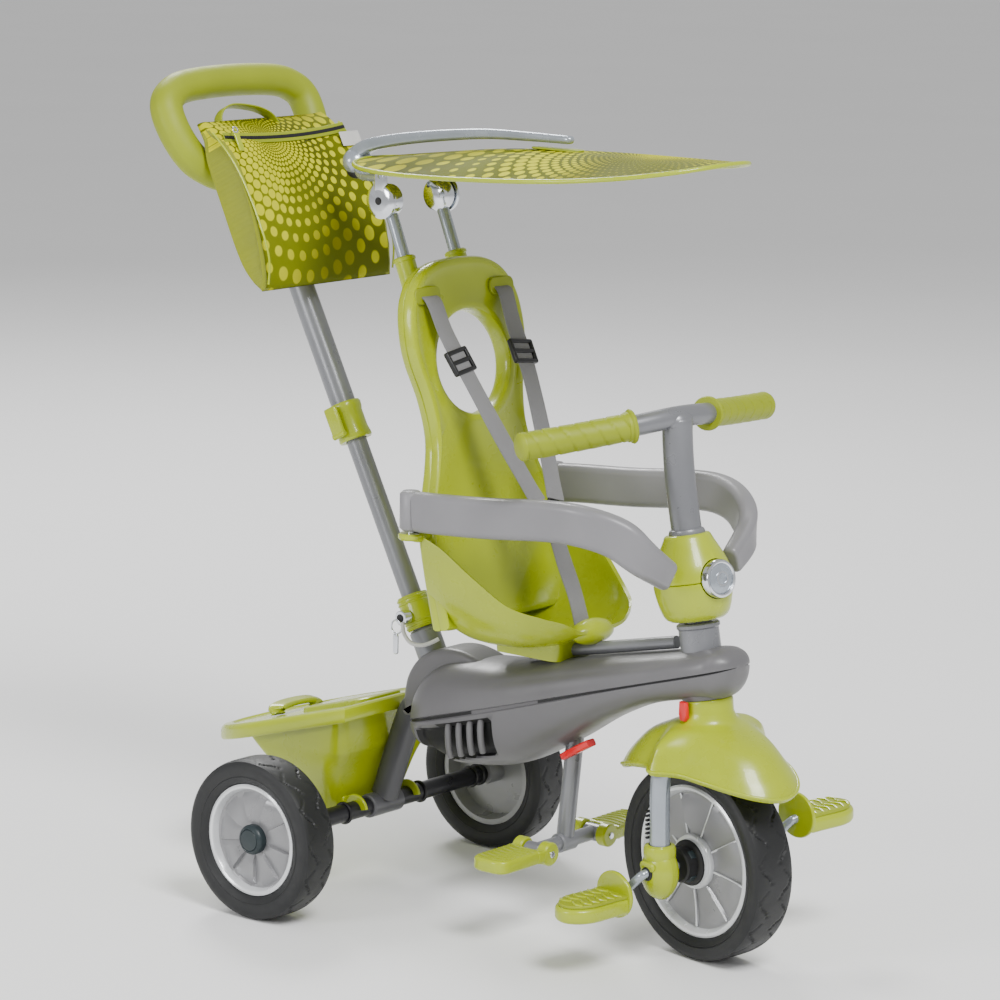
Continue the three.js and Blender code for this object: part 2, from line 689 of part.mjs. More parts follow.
// keeps the backrest clear of the bucket where the two meet
function seatShellEnvelope() {
  return box(0, 176, 350, 260, 202, 120);
}

function armrest(sign) {
  const path = [v(ARM_PIN_X, ARM_PIN_Y - 10, 427), v(ARM_X, 250, 429), v(ARM_X, 190, 433),
    v(ARM_X, 120, 440), v(ARM_X - 3, 78, 440), v(ARM_X - 16, 45, 431), v(84, 25, 412),
    v(52, 19, 393)];
  const rail = bar(path, 10, 20, 14);
  const knuckle = rod(v(ARM_PIN_X, ARM_PIN_Y, 407), v(ARM_PIN_X, ARM_PIN_Y, 447), 11);
  const bore = rod(v(ARM_PIN_X, ARM_PIN_Y, 400), v(ARM_PIN_X, ARM_PIN_Y, 440),
    ARM_PIN_R + GAP, 12);
  const right = cut(join(rail, knuckle), bore);
  return sign > 0 ? right : mirrored(right);
}

const BUCKLE = v(0, 204, 412);

function shoulderStrap(sign) {
  const points = [v(58, 335, 631.8), v(57, 322, 633.6), v(56, 312, 628), v(53, 300, 596),
    v(46, 274, 552), v(32, 243, 494), v(18, 218, 446), v(13, 210, 433)];
  return strap(points.map((p) => v(sign * p.x, p.y, p.z)), 20, 2.4, 14);
}

function addSeat() {
  const green = material(COLORS.green, 0.35);
  const grey = material(COLORS.greyLight, 0.5);
  place('seat_shell', seatShell(), green);
  place('seat_back', seatBack(), green);
  for (const [side, sign] of [['right', -1], ['left', 1]]) {
    place(`armrest_${side}`, armrest(sign), grey);
    place(`harness_strap_${side}`, shoulderStrap(sign), material(COLORS.webbing, 0.9));
    const disc = rod(v(sign * (POST_X - 5), CANOPY_PIVOT_Y, CANOPY_PIVOT_Z),
      v(sign * (POST_X + 7), CANOPY_PIVOT_Y, CANOPY_PIVOT_Z), 17, 14);
    place(`canopy_post_${side}`, join(rod(postPoint(sign, -91), postPoint(sign, 0), POST_R, 14),
      disc), material(COLORS.silver, 0.3, 0.7));
  }
  place('harness_buckle', new THREE.BoxGeometry(46, 12, 32, 1, 1, 1).rotateX(-0.42)
    .translate(BUCKLE.x, BUCKLE.y, BUCKLE.z), material(COLORS.black, 0.35));
  place('crotch_strap', strap([v(0, 196.5, 395), v(0, 186, 372), v(0, 172, 342),
    v(0, 163.5, 310)], 20, 2.4, 8), material(COLORS.webbing, 0.9));
}

// ---------------------------------------------------------------- canopy
// ridge height above the ground along the canopy, front tip highest
function ridgeZ(y) {
  const t = (y - CANOPY_FRONT) / (CANOPY_REAR - CANOPY_FRONT);
  return 786 - 28 * t ** 3;
}

function canopyHalf(y) {
  const middle = (CANOPY_FRONT + CANOPY_REAR) / 2;
  const reach = (CANOPY_REAR - CANOPY_FRONT) / 2;
  const t = Math.min(1, Math.abs((y - middle) / reach));
  return CANOPY_HALF * (1 - t ** 2.2) ** 0.55;
}

const canopyZ = (x, y) => ridgeZ(y) - CANOPY_DROP * (x / CANOPY_HALF) ** 2;

function canopyFabric() {
  const thick = 3;
  const across = 6;
  const rings = [];
  const count = 12;
  for (let i = 0; i <= count; i += 1) {
    const turn = 0.045 + 0.91 * (i / count);
    const y = CANOPY_FRONT + (CANOPY_REAR - CANOPY_FRONT) * (1 - Math.cos(turn * Math.PI)) / 2;
    const half = canopyHalf(y);
    const top = [];
    const under = [];
    for (let j = 0; j <= across; j += 1) {
      const x = half * (2 * j / across - 1);
      top.push(v(x, y, canopyZ(x, y) + thick / 2));
      under.push(v(x, y, canopyZ(x, y) - thick / 2));
    }
    rings.push([...top, ...under.reverse()]);
  }
  return loft(rings, dropY);
}

const DISC_X = 50.6;
const DISC_HALF = 3.2;

function canopyFrame() {
  const knuckle = ellipsoid(v(0, 469, 752), 13, 12, 13, 10, 6);
  const arm = tube([v(0, 468, 760), v(0, 448, 771), v(0, 400, 781), v(0, 340, 789),
    v(0, 290, 793.5), v(0, 240, 794.5), v(0, 191, 794.5)], 6, 8, 8);
  const pieces = [knuckle, arm];
  for (const sign of [-1, 1]) {
    const x = sign * DISC_X;
    pieces.push(rod(v(x - DISC_HALF, CANOPY_PIVOT_Y, CANOPY_PIVOT_Z),
      v(x + DISC_HALF, CANOPY_PIVOT_Y, CANOPY_PIVOT_Z), 18.5, 14));
    pieces.push(box(x, CANOPY_PIVOT_Y, CANOPY_PIVOT_Z + 20, 6.4, 16, 24));
    pieces.push(tube([v(0, 469, 748), v(sign * 22, 442, 742), v(sign * 42, 410, 744),
      v(x, CANOPY_PIVOT_Y - 2, CANOPY_PIVOT_Z + 25)], 4.5, 5, 6));
  }
  return join(...pieces);
}

function addCanopy() {
  place('canopy_fabric', canopyFabric(), material(COLORS.fabric, 0.9));
  place('canopy_frame', canopyFrame(), material(COLORS.silver, 0.35, 0.6));
}

// ---------------------------------------------------------------- parent handle
const PIN_S = 43;
const pinX = (from, to, radius, sides = 10) => {
  const c = polePoint(PIN_S);
  return rod(v(from, c.y, c.z), v(to, c.y, c.z), radius, sides);
};

function handleRing() {
  const points = [];
  const mid = (HANDLE_TOP + HANDLE_BOTTOM) / 2;
  const rise = (HANDLE_TOP - HANDLE_BOTTOM) / 2;
  const count = 16;
  for (let i = 0; i < count; i += 1) {
    const a = (i / count) * 2 * Math.PI;
    const soft = (t, n) => Math.sign(t) * Math.abs(t) ** n;
    const narrow = 1 - 0.13 * (1 - Math.sin(a));
    points.push([HANDLE_HALF * narrow * soft(Math.cos(a), 0.62), mid + rise
      * soft(Math.sin(a), 0.72)]);
  }
  return points.map(([x, s]) => polePoint(s, x));
}

function handleGrip() {
  const circle = new THREE.Shape();
  circle.absarc(0, 0, FOAM_R, 0, 2 * Math.PI, false);
  const extrudePath = new THREE.CatmullRomCurve3(handleRing(), true, 'centripetal');
  const ring = new THREE.ExtrudeGeometry(circle, {
    extrudePath, steps: 30, curveSegments: 5, bevelEnabled: false,
  });
  const first = solid(openRingClosed(ring));
  return geometryOf(first.add(solid(rod(polePoint(500), polePoint(530), 15.5, 14)))
    .subtract(solid(rod(polePoint(480), polePoint(522), POLE_UPPER_R + GAP, 14))));
}

// an extrusion on a closed path has its two end caps on the same spot; leave them out
function openRingClosed(ring) {
  const bare = ring.clone();
  bare.deleteAttribute('normal');
  bare.deleteAttribute('uv');
  const merged = mergeVertices(bare, 1e-3);
  const index = merged.index.array;
  const seen = new Map();
  for (let i = 0; i < index.length; i += 3) {
    const key = [index[i], index[i + 1], index[i + 2]].sort((a, b) => a - b).join(',');
    seen.set(key, (seen.get(key) ?? 0) + 1);
  }
  const kept = [];
  for (let i = 0; i < index.length; i += 3) {
    const tri = [index[i], index[i + 1], index[i + 2]];
    const key = [...tri].sort((a, b) => a - b).join(',');
    if (seen.get(key) === 1) kept.push(...tri);
  }
  merged.setIndex(kept);
  return merged;
}

function poleCollar() {
  return cut(pipe(polePoint(28), polePoint(64), 17, POLE_R + GAP), pinX(-30, 30, LOCK_PIN_R + GAP));
}

function poleClamp() {
  return cut(rod(polePoint(236), polePoint(276), 18),
    rod(polePoint(239.6), polePoint(280), POLE_UPPER_R + GAP),
    rod(polePoint(230), polePoint(245), POLE_R + GAP));
}

function clampLever() {
  const a = polePoint(244, -22.4);
  const lever = box(0, 0, 15, 5, 17, 30);
  const barrel = rod(v(0, -8.5, 0), v(0, 8.5, 0), 2.5, 12);
  const tilt = Math.atan2(POLE_DIR.y, POLE_DIR.z);
  return join(lever, barrel).rotateX(-tilt).translate(a.x, a.y, a.z);
}

// bag shell: rings from the bottom seam to the top edge, in handle coordinates
function bagBody() {
  const levels = [[398, 97, 27, 38], [420, 99, 20, 56], [470, 100, 18, 66],
    [530, 100, 18, 60], [566, 100, 18, 48], [588, 97, 18.5, 30]];
  const rings = levels.map(([s, half, back, front]) => {
    const soft = Math.min(14, (front - back) / 2.2);
    const outline = [[-half, back], [half, back], [half, front - soft], [half - soft, front],
      [-half + soft, front], [-half, front - soft]];
    return outline.map(([x, n]) => polePoint(s, x, n));
  });
  return loft(rings, (p) => new THREE.Vector2(p.x, p.y));
}

function zipPuller() {
  const centre = polePoint(556, -82, 56);
  const tilt = Math.atan2(POLE_DIR.y, POLE_DIR.z);
  return new THREE.BoxGeometry(8, 2.6, 20).rotateX(-tilt)
    .translate(centre.x, centre.y, centre.z);
}

function addHandle() {
  const green = material(COLORS.green, 0.4);
  const steel = material(COLORS.steel, 0.4, 0.6);
  const lower = cut(rod(polePoint(-8.6), polePoint(380), POLE_R), pinX(-30, 30, LOCK_PIN_R + GAP));
  place('pole_lower', lower, steel);
  place('pole_collar', poleCollar(), green);
  place('pole_upper', pipe(polePoint(240), polePoint(521.5), POLE_UPPER_R, POLE_R + GAP),
    steel);
  place('pole_clamp', poleClamp(), green);
  place('clamp_lever', clampLever(), green);
  place('handle_grip', handleGrip(), green);
  place('bag_body', bagBody(), material(COLORS.fabric, 0.9));
  place('zip_puller', zipPuller(), green);
  place('lock_pin', join(pinX(-26, 14, LOCK_PIN_R), pinX(-28, -18, 2 * LOCK_PIN_R, 14)),
    material(COLORS.silver, 0.25, 0.9));
  const pin = polePoint(PIN_S);
  place('pin_clip', box(-31, pin.y + 3, pin.z - 22, 3, 7, 30), material(COLORS.darkSteel, 0.4));
  place('tether_cord', tube([v(-31, pin.y - 5, pin.z - 3), v(-32, pin.y - 8, pin.z - 14),
    v(-31, pin.y - 17, pin.z - 23), v(-27, pin.y - 29, pin.z - 24),
    v(-21, pin.y - 38, pin.z - 20), v(-17, pin.y - 42, pin.z - 17)], 2.1, 8, 8),
  material(COLORS.white, 0.8));
}

// ---------------------------------------------------------------- bin
const lidTop = (y) => LID_TOP_AT_HINGE + BIN_SLOPE * (y - LID_HINGE_Y);
const LID_THICK = 15;

function lidOutline(inset) {
  const front = LID_HINGE_Y + inset;
  const straight = 520;
  const half = 94 - inset;
  const shape = new THREE.Shape();
  shape.moveTo(-86 + inset, front);
  shape.lineTo(86 - inset, front);
  shape.lineTo(half, straight);
  shape.absellipse(0, straight, half, 104 - inset, 0, Math.PI, false);
  shape.closePath();
  return shape;
}

// slab between two sloping planes under the given outline
function slopedSlab(shape, topOffset, bottomOffset) {
  const points = shape.extractPoints(10).shape;
  const rings = [bottomOffset, topOffset].map((offset) => points.map(
    (p) => v(p.x, p.y, lidTop(p.y) + offset)));
  return loft(rings, dropZ);
}

function binLid() {
  const skirt = slopedSlab(lidOutline(0), 0, -LID_THICK);
  const inside = slopedSlab(lidOutline(3), -4, -LID_THICK - 5);
  const handle = box(0, 556, lidTop(556) + 3, 60, 26, 14);
  const tilted = cut(handle, slopedSlab(lidOutline(20), -0.1, -60));
  return join(cut(skirt, inside), tilted);
}

function binRing(z, front, rear, half, inset) {
  const [f, r, h] = [front + inset, rear - inset, half - inset];
  const soft = 14;
  return [[-h + soft, f], [h - soft, f], [h, f + soft], [h, r - soft * 1.6],
    [h - soft * 1.6, r], [-h + soft * 1.6, r], [-h, r - soft * 1.6], [-h, f + soft]]
    .map(([x, y]) => v(x, y, typeof z === 'function' ? z(y) : z));
}

function binTub() {
  const rim = (y) => lidTop(y) - 5;
  const outer = loft([binRing(78, 446, 508, 58, 0), binRing(125, 430, 530, 72, 0),
    binRing(rim, 409, 566, 79, 0)], dropZ);
  const above = (y) => lidTop(y) + 20;
  const inner = loft([binRing(82, 446, 508, 58, 3.5), binRing(125, 430, 530, 72, 3),
    binRing(rim, 409, 566, 79, 3), binRing(above, 403, 572, 81, 3)], dropZ);
  const hooks = [-42, 42].map((x) => {
    const arc = new THREE.Shape();
    arc.absarc(0, 0, 14.5, -0.35 * Math.PI, 0.95 * Math.PI, false);
    arc.absarc(0, 0, AXLE_TUBE_R + 2 * GAP, 0.95 * Math.PI, -0.35 * Math.PI, true);
    arc.closePath();
    const hook = new THREE.ExtrudeGeometry(arc, { depth: 9, bevelEnabled: false,
      curveSegments: 4 }).rotateX(Math.PI / 2).rotateZ(Math.PI / 2);
    const arm = box(x, WHEELBASE + 19, REAR_R + 6, 9, 14, 16);
    return [hook.translate(x - 4.5, WHEELBASE, REAR_R), arm];
  }).flat();
  const axle = rod(v(-80, WHEELBASE, REAR_R), v(80, WHEELBASE, REAR_R), AXLE_TUBE_R + GAP);
  return cut(join(cut(outer, inner), ...hooks.map((hook) => cut(hook, inner))), axle);
}

function addBin() {
  const green = material(COLORS.green, 0.35);
  place('bin_tub', binTub(), green);
  place('bin_lid', binLid(), green);
}

// ---------------------------------------------------------------- foot rest
function crossTube() {
  const level = rod(v(-FOOT_PIVOT_X, FOOT_Y, FOOT_Z), v(FOOT_PIVOT_X, FOOT_Y, FOOT_Z), 7.5, 16);
  const eyes = [-1, 1].map((sign) => rod(v(sign * FOOT_PIVOT_X, FOOT_Y - 9, FOOT_Z),
    v(sign * FOOT_PIVOT_X, FOOT_Y + 9, FOOT_Z), 9));
  return join(level, ...eyes);
}

function footPlate(sign) {
  const reach = 126;
  const deckHalf = 22;
  const deck = box((FOOT_PIVOT_X + reach) / 2, FOOT_Y, FOOT_Z, reach - FOOT_PIVOT_X,
    2 * deckHalf, 14);
  const lugs = [-1, 1].map((end) => rod(
    v(FOOT_PIVOT_X, FOOT_Y + end * 10, FOOT_Z), v(FOOT_PIVOT_X, FOOT_Y + end * deckHalf, FOOT_Z),
    12, 14));
  const notch = box(FOOT_PIVOT_X, FOOT_Y, FOOT_Z, 25, 19.4, 40);
  const right = cut(join(deck, ...lugs), notch);
  return sign > 0 ? right : mirrored(right);
}

function footrestLatch() {
  const lean = Math.atan(-0.586);
  return new THREE.BoxGeometry(13, 42, 8).rotateX(lean).translate(-18.5, 152, 189.5);
}

function addFootRest() {
  const steel = material(COLORS.steel, 0.4, 0.6);
  const post = cut(rod(v(0, 168, 205), v(0, FOOT_Y - 0.5, FOOT_Z - 2), 9, 18),
    rod(v(-20, FOOT_Y, FOOT_Z), v(20, FOOT_Y, FOOT_Z), 7.5 + GAP, 16),
    box(0, FOOT_Y, FOOT_Z - 20, 40, 40, 40));
  place('footrest_post', post, steel);
  place('footrest_cross_tube', crossTube(), steel);
  place('footrest_latch', footrestLatch(), material(COLORS.red, 0.3));
  for (const [side, sign] of [['right', -1], ['left', 1]]) {
    place(`foot_plate_${side}`, footPlate(sign), material(COLORS.green, 0.4));
  }
}

// ---------------------------------------------------------------- assembly
addFrame();
addRearWheels();
addSteering();
addSeat();
addCanopy();
addHandle();
addBin();
addFootRest();

// the turned, raked front wheel is set so that its lowest point is on the ground
trike.updateMatrixWorld(true);
const frontTyre = steered.children.find((mesh) => mesh.name === 'front_tyre');
steer.position.z -= new THREE.Box3().setFromObject(frontTyre, true).min.z;

// origin at the middle of the outline on the ground
trike.updateMatrixWorld(true);
const outline = new THREE.Box3().setFromObject(parts, true);
parts.position.set(-(outline.min.x + outline.max.x) / 2,
  -(outline.min.y + outline.max.y) / 2, 0);

export default trike;
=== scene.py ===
"""Looks for the push tricycle. Shapes are worked out in millimetres with y = 0 at the front
axle and y = 425 at the rear one, then moved into the row frame by place()."""

import json
import math

import bmesh
import bpy
from mathutils import Matrix, Vector, noise


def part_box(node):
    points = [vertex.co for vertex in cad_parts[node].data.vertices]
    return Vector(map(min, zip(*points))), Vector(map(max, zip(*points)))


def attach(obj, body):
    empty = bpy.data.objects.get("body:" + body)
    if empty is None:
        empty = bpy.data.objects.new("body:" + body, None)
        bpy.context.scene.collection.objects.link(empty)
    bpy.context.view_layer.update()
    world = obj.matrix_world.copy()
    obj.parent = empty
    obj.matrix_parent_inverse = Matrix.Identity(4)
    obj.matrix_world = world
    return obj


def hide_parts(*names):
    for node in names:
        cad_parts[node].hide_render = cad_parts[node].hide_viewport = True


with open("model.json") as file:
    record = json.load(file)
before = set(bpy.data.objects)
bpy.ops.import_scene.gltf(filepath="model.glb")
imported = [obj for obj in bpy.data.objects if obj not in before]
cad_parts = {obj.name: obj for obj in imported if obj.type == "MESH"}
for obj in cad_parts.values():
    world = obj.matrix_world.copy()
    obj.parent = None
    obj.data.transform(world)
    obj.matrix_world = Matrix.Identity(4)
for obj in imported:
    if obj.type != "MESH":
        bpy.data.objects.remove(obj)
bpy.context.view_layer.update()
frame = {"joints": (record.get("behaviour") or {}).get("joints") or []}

MM = 0.001
WHEELBASE = 425
REAR_R = 82.5
FRONT_R = 100
FRONT_AXLE_Y = 7
TRACK = 371
STEER_TURN = math.radians(-11.2)
SEAM_SLOPE = -0.288
SEAM_AT_ZERO = 291.2
BODY_TOP_AT_ZERO = 315
RAIL_SLOPE = -0.213
BACK_SLOPE = 0.2
CANOPY_FRONT = -8
CANOPY_REAR = 446
CANOPY_HALF = 108
PIVOT = Vector((0, 391, 722))
LID_HINGE_Y = 402
SIDES = (("right", -1), ("left", 1))


def V(x, y, z):
    return Vector((x, y, z))


def joint(name):
    return next(j for j in frame["joints"] if j["name"] == name)


wheel_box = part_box("rear_tyre_right")
SHIFT = V(0, (wheel_box[0].y + wheel_box[1].y) / 2 / MM - WHEELBASE, 0)
COLUMN_AXIS = Vector(joint("steer")["axis"]).normalized()
COLUMN_AT = V(0, 18, 325)
TURNED = (
    Matrix.Translation(Vector(joint("steer")["pos_m"]) / MM - SHIFT)
    @ Matrix.Rotation(STEER_TURN, 4, COLUMN_AXIS)
    @ Matrix.Translation(-COLUMN_AT)
)
RAKE = math.atan2(COLUMN_AXIS.y, COLUMN_AXIS.z)
POLE_BASE = V(0, 358, 253)
POLE_DIR = Vector(joint("handle_height")["axis"]).normalized()
POLE_FRONT = V(0, -POLE_DIR.z, POLE_DIR.y)


def column_point(t):
    return COLUMN_AT + COLUMN_AXIS * t


def pole_point(s, x=0.0, n=0.0):
    return POLE_BASE + POLE_DIR * s + POLE_FRONT * n + V(x, 0, 0)


# ------------------------------------------------------------------ materials
def srgb(r, g, b):
    return tuple((c / 255) ** 2.2 for c in (r, g, b)) + (1.0,)


class Look:
    """A material, with short ways of adding nodes to it."""

    def __init__(self, name):
        self.mat = bpy.data.materials.new(name)
        self.mat.use_nodes = True
        self.tree = self.mat.node_tree
        self.shader = self.tree.nodes["Principled BSDF"]
        self.at = self.node("ShaderNodeTexCoord").outputs["Object"]

    def node(self, kind, inputs=None, **settings):
        made = self.tree.nodes.new(kind)
        for key, value in settings.items():
            setattr(made, key, value)
        for key, value in (inputs or {}).items():
            self.feed(made.inputs[key], value)
        return made

    def feed(self, socket, value):
        if isinstance(value, bpy.types.NodeSocket):
            self.tree.links.new(value, socket)
        else:
            socket.default_value = value

    def math(self, operation, a, b=0.0, c=0.0):
        return self.node("ShaderNodeMath", {0: a, 1: b, 2: c}, operation=operation).outputs[0]

    def noise(self, scale, detail=3.0, at=None):
        given = {"Vector": at or self.at, "Scale": scale, "Detail": detail}
        return self.node("ShaderNodeTexNoise", given).outputs["Fac"]

    def spread(self, value, low, high, start=0.3, end=0.7):
        given = {"Value": value, "From Min": start, "From Max": end, "To Min": low, "To Max": high}
        return self.node("ShaderNodeMapRange", given).outputs["Result"]

    def mix(self, share, a, b):
        made = self.node("ShaderNodeMix", data_type="RGBA")
        self.feed(made.inputs[0], share)
        self.feed(made.inputs[6], a)
        self.feed(made.inputs[7], b)
        return made.outputs[2]

    def bump(self, height, strength, distance=0.0004):
        given = {"Height": height, "Strength": strength, "Distance": distance}
        normal = self.node("ShaderNodeBump", given).outputs["Normal"]
        self.feed(self.shader.inputs["Normal"], normal)

    def set(self, **sockets):
        for name, value in sockets.items():
            self.feed(self.shader.inputs[name.replace("_", " ")], value)
        return self.mat


def shade(color, factor):
    return tuple(min(1.0, c * factor) for c in color[:3]) + (1.0,)


def surface(name, color, rough, metal=0.0, grain=900.0, strength=0.12, mottle=0.07, coat=0.0, scuffs=0.10):
    """Moulded plastic or painted metal: cloudy colour, fine grain, worn edges, uneven gloss."""
    look = Look(name)
    cloud = look.noise(14.0, 5.0)
    share = look.spread(cloud, 0.0, 1.0)
    base = look.mix(share, shade(color, 1 - mottle), shade(color, 1 + mottle))
    edge = look.node("ShaderNodeNewGeometry").outputs["Pointiness"]
    worn = look.spread(edge, 0.0, 0.35, 0.52, 0.60)
    base = look.mix(worn, base, shade(color, 1.35))
    scuff = look.spread(look.noise(70.0, 6.0), 0.0, scuffs, 0.45, 0.75)
    gloss = look.math("ADD", look.spread(cloud, rough - 0.05, rough + 0.07), scuff)
    look.bump(look.noise(grain, 2.0), strength)
    return look.set(Base_Color=base, Roughness=gloss, Metallic=metal, Coat_Weight=coat)


def woven(name, color, threads=900.0):
    """Webbing or braid: crossed threads with slightly uneven dye."""
    look = Look(name)
    waves = []
    for axis in ("X", "Z"):
        given = {"Vector": look.at, "Scale": threads, "Distortion": 0.4, "Detail": 1.0}
        wave = look.node("ShaderNodeTexWave", given, bands_direction=axis)
        waves.append(wave.outputs["Fac"])
    weave = look.math("MULTIPLY", waves[0], waves[1])
    cloud = look.spread(look.noise(25.0, 4.0), -0.12, 0.12)
    share = look.math("ADD", look.math("MULTIPLY", weave, 0.6), cloud)
    base = look.mix(share, shade(color, 0.74), shade(color, 1.14))
    look.bump(weave, 0.5, 0.0006)
    return look.set(Base_Color=base, Roughness=look.spread(weave, 0.95, 0.75, 0.0, 1.0),
                    Sheen_Weight=0.25)


def printed(name, centre, across, along, dots_round, light=1.0):
    """Polyester with dots that fan out from a point and grow with distance from it."""
    look = Look(name)
    offset = look.node("ShaderNodeVectorMath", {0: look.at, 1: centre}, operation="SUBTRACT")
    flat = []
    for axis in (across, along):
        given = {0: offset.outputs["Vector"], 1: axis}
        flat.append(look.node("ShaderNodeVectorMath", given, operation="DOT_PRODUCT").outputs["Value"])
    turn = look.math("ARCTAN2", flat[1], flat[0])
    reach = look.math("SQRT", look.math("ADD", look.math("POWER", look.math("ABSOLUTE", flat[0]), 2.0),
                                        look.math("POWER", look.math("ABSOLUTE", flat[1]), 2.0)))
    cells = dots_round / (2 * math.pi)
    u = look.math("MULTIPLY", turn, cells)
    v = look.math("MULTIPLY", look.math("LOGARITHM", look.math("ADD", reach, 0.004), math.e), cells)
    u = look.math("ADD", u, look.math("MULTIPLY", look.math("FLOOR", v), 0.5))
    du = look.math("SUBTRACT", look.math("FRACT", u), 0.5)
    dv = look.math("SUBTRACT", look.math("FRACT", v), 0.5)
    gap = look.math("SQRT", look.math("ADD", look.math("MULTIPLY", du, du), look.math("MULTIPLY", dv, dv)))
    broad = look.noise(9.0, 1.0)
    size = look.spread(broad, 0.18, 0.47, 0.35, 0.65)
    dot = look.spread(look.math("SUBTRACT", gap, size), 1.0, 0.0, -0.03, 0.03)
    cloth = look.mix(look.spread(look.noise(5.0, 2.0), 0.0, 1.0), srgb(70, 74, 6), srgb(116, 124, 0))
    tone = look.spread(look.noise(6.0, 1.0), 0.0, 1.0, 0.42, 0.58)
    ink = look.mix(tone, srgb(140, 138, 4), srgb(208, 208, 8))
    thread = look.node("ShaderNodeTexWave", {"Vector": look.at, "Scale": 700.0, "Distortion": 1.0})
    base = look.mix(dot, cloth, ink)
    base = look.mix(look.math("MULTIPLY", thread.outputs["Fac"], 0.12), base, srgb(60, 62, 20))
    base = look.mix(1.0 - light, base, srgb(30, 32, 10))
    height = look.math("ADD", look.math("MULTIPLY", thread.outputs["Fac"], 0.4), look.noise(60.0, 4.0))
    look.bump(height, 0.5, 0.0008)
    return look.set(Base_Color=base, Roughness=look.spread(broad, 0.62, 0.8), Specular_IOR_Level=0.15)


GREEN = surface("green_plastic", srgb(160, 174, 6), 0.27, coat=0.3)
GREEN_SOFT = surface("green_rubber", srgb(138, 150, 6), 0.5, grain=1600.0, strength=0.3)
GREY = surface("grey_shell_plastic", srgb(98, 97, 99), 0.33, grain=1300.0, strength=0.16)
ARM_GREY = surface("armrest_plastic", srgb(126, 125, 128), 0.33, grain=1300.0, strength=0.14)
# Near-black plastic for small dark parts; the same material is also the painted shade on the body's recess and
# seam groove.
DARK = surface("black_plastic_and_painted_shade", srgb(20, 20, 21), 0.5, grain=1300.0, strength=0.2)
DARK_PAINT = surface("pillar_lacquer", srgb(84, 84, 87), 0.30, 0.2, grain=500.0, strength=0.05)
PAINT = surface("painted_tube", srgb(122, 123, 127), 0.28, 0.35, grain=500.0, strength=0.05)
BLACK_STEEL = surface("black_tube", srgb(36, 36, 39), 0.32, 0.2, grain=500.0, strength=0.06)
SILVER = surface("silver_lacquer", srgb(160, 167, 175), 0.2, 0.55, grain=600.0, strength=0.05)
CHROME = surface("bright_plating", srgb(214, 217, 222), 0.10, 1.0, grain=500.0, strength=0.02)
RUBBER = surface("tyre_rubber", srgb(27, 28, 29), 0.5, grain=1500.0, strength=0.35, mottle=0.18)
RIM = surface("rim_plastic", srgb(140, 140, 142), 0.30, 0.30, grain=900.0, strength=0.03, mottle=0.03,
              scuffs=0.03)
RIM_EDGE = surface("rim_lip", srgb(216, 218, 220), 0.18, 0.3, grain=900.0, strength=0.04)
CAP = surface("cap_plastic", srgb(34, 45, 48), 0.4, grain=1200.0, strength=0.15)
RED = surface("red_plastic", srgb(212, 8, 22), 0.25, coat=0.3)
BLACK = surface("buckle_plastic", srgb(22, 22, 24), 0.32, grain=1200.0, strength=0.12)
WHITE = woven("white_label", srgb(236, 235, 230), 1500.0)
WEBBING = woven("grey_webbing", srgb(138, 137, 140))
GREEN_CLOTH = woven("gusset_cloth", srgb(150, 158, 12), 1100.0)
CORD = woven("white_braid", srgb(232, 231, 226), 1300.0)


# ------------------------------------------------------------------ shapes
def geometry(rings, closed_rings=False, caps=True):
    """Skin through rings of equal point counts."""
    n = len(rings[0])
    verts = [p for ring in rings for p in ring]
    faces = []
    for r in range(len(rings) if closed_rings else len(rings) - 1):
        a, b = r * n, ((r + 1) % len(rings)) * n
        faces += [(a + i, a + (i + 1) % n, b + (i + 1) % n, b + i) for i in range(n)]
    if caps and not closed_rings:
        faces.append(tuple(reversed(range(n))))
        faces.append(tuple(range(len(verts) - n, len(verts))))
    return verts, faces


def moved(shape, matrix):
    return [matrix @ p for p in shape[0]], shape[1]


def shifted(shape, x, y, z):
    return moved(shape, Matrix.Translation((x, y, z)))


def curve(points, steps, closed=False):
    """Smooth line through the points."""
    n = len(points)
    out = []
    spans = n if closed else n - 1
    for i in range(steps if closed else steps + 1):
        t = i * spans / steps
        k = min(int(t), spans - 1)
        f = t - k
        pick = [points[(k + d) % n] if closed else points[max(0, min(n - 1, k + d))] for d in (-1, 0, 1, 2)]
        a, b, c, d = pick
        out.append(0.5 * (2 * b + (c - a) * f + (2 * a - 5 * b + 4 * c - d) * f * f
                          + (3 * b - a - 3 * c + d) * f ** 3))
    return out


def sweep(path, section, up=None, closed=False):
    """Moves a section along a path; section(i, share) gives (side, up) offsets."""
    rings = []
    side = None
    n = len(path)
    for i, point in enumerate(path):
        before = path[i - 1] if i or closed else path[0]
        after = path[(i + 1) % n] if closed or i < n - 1 else path[-1]
        ahead = (after - before).normalized()
        if up is not None:
            side = ahead.cross(up).normalized()
        elif side is None:
            side = ahead.orthogonal().normalized()
        else:
            side = (side - ahead * side.dot(ahead)).normalized()
        above = side.cross(ahead)
        rings.append([point + side * s + above * u for s, u in section(i, i / max(1, n - 1))])
    return geometry(rings, closed_rings=closed)


def circle(r, n=24):
    return [(r * math.cos(2 * math.pi * i / n), r * math.sin(2 * math.pi * i / n)) for i in range(n)]


def rounded(half_w, half_h, corner, n=5):
    """Rounded rectangle outline, counter-clockwise."""
    out = []
    for quarter, (sx, sy) in enumerate(((1, 1), (-1, 1), (-1, -1), (1, -1))):
        for k in range(n + 1):
            a = math.pi / 2 * (quarter + k / n)
            out.append((sx * (half_w - corner) + corner * math.cos(a),
                        sy * (half_h - corner) + corner * math.sin(a)))
    return out


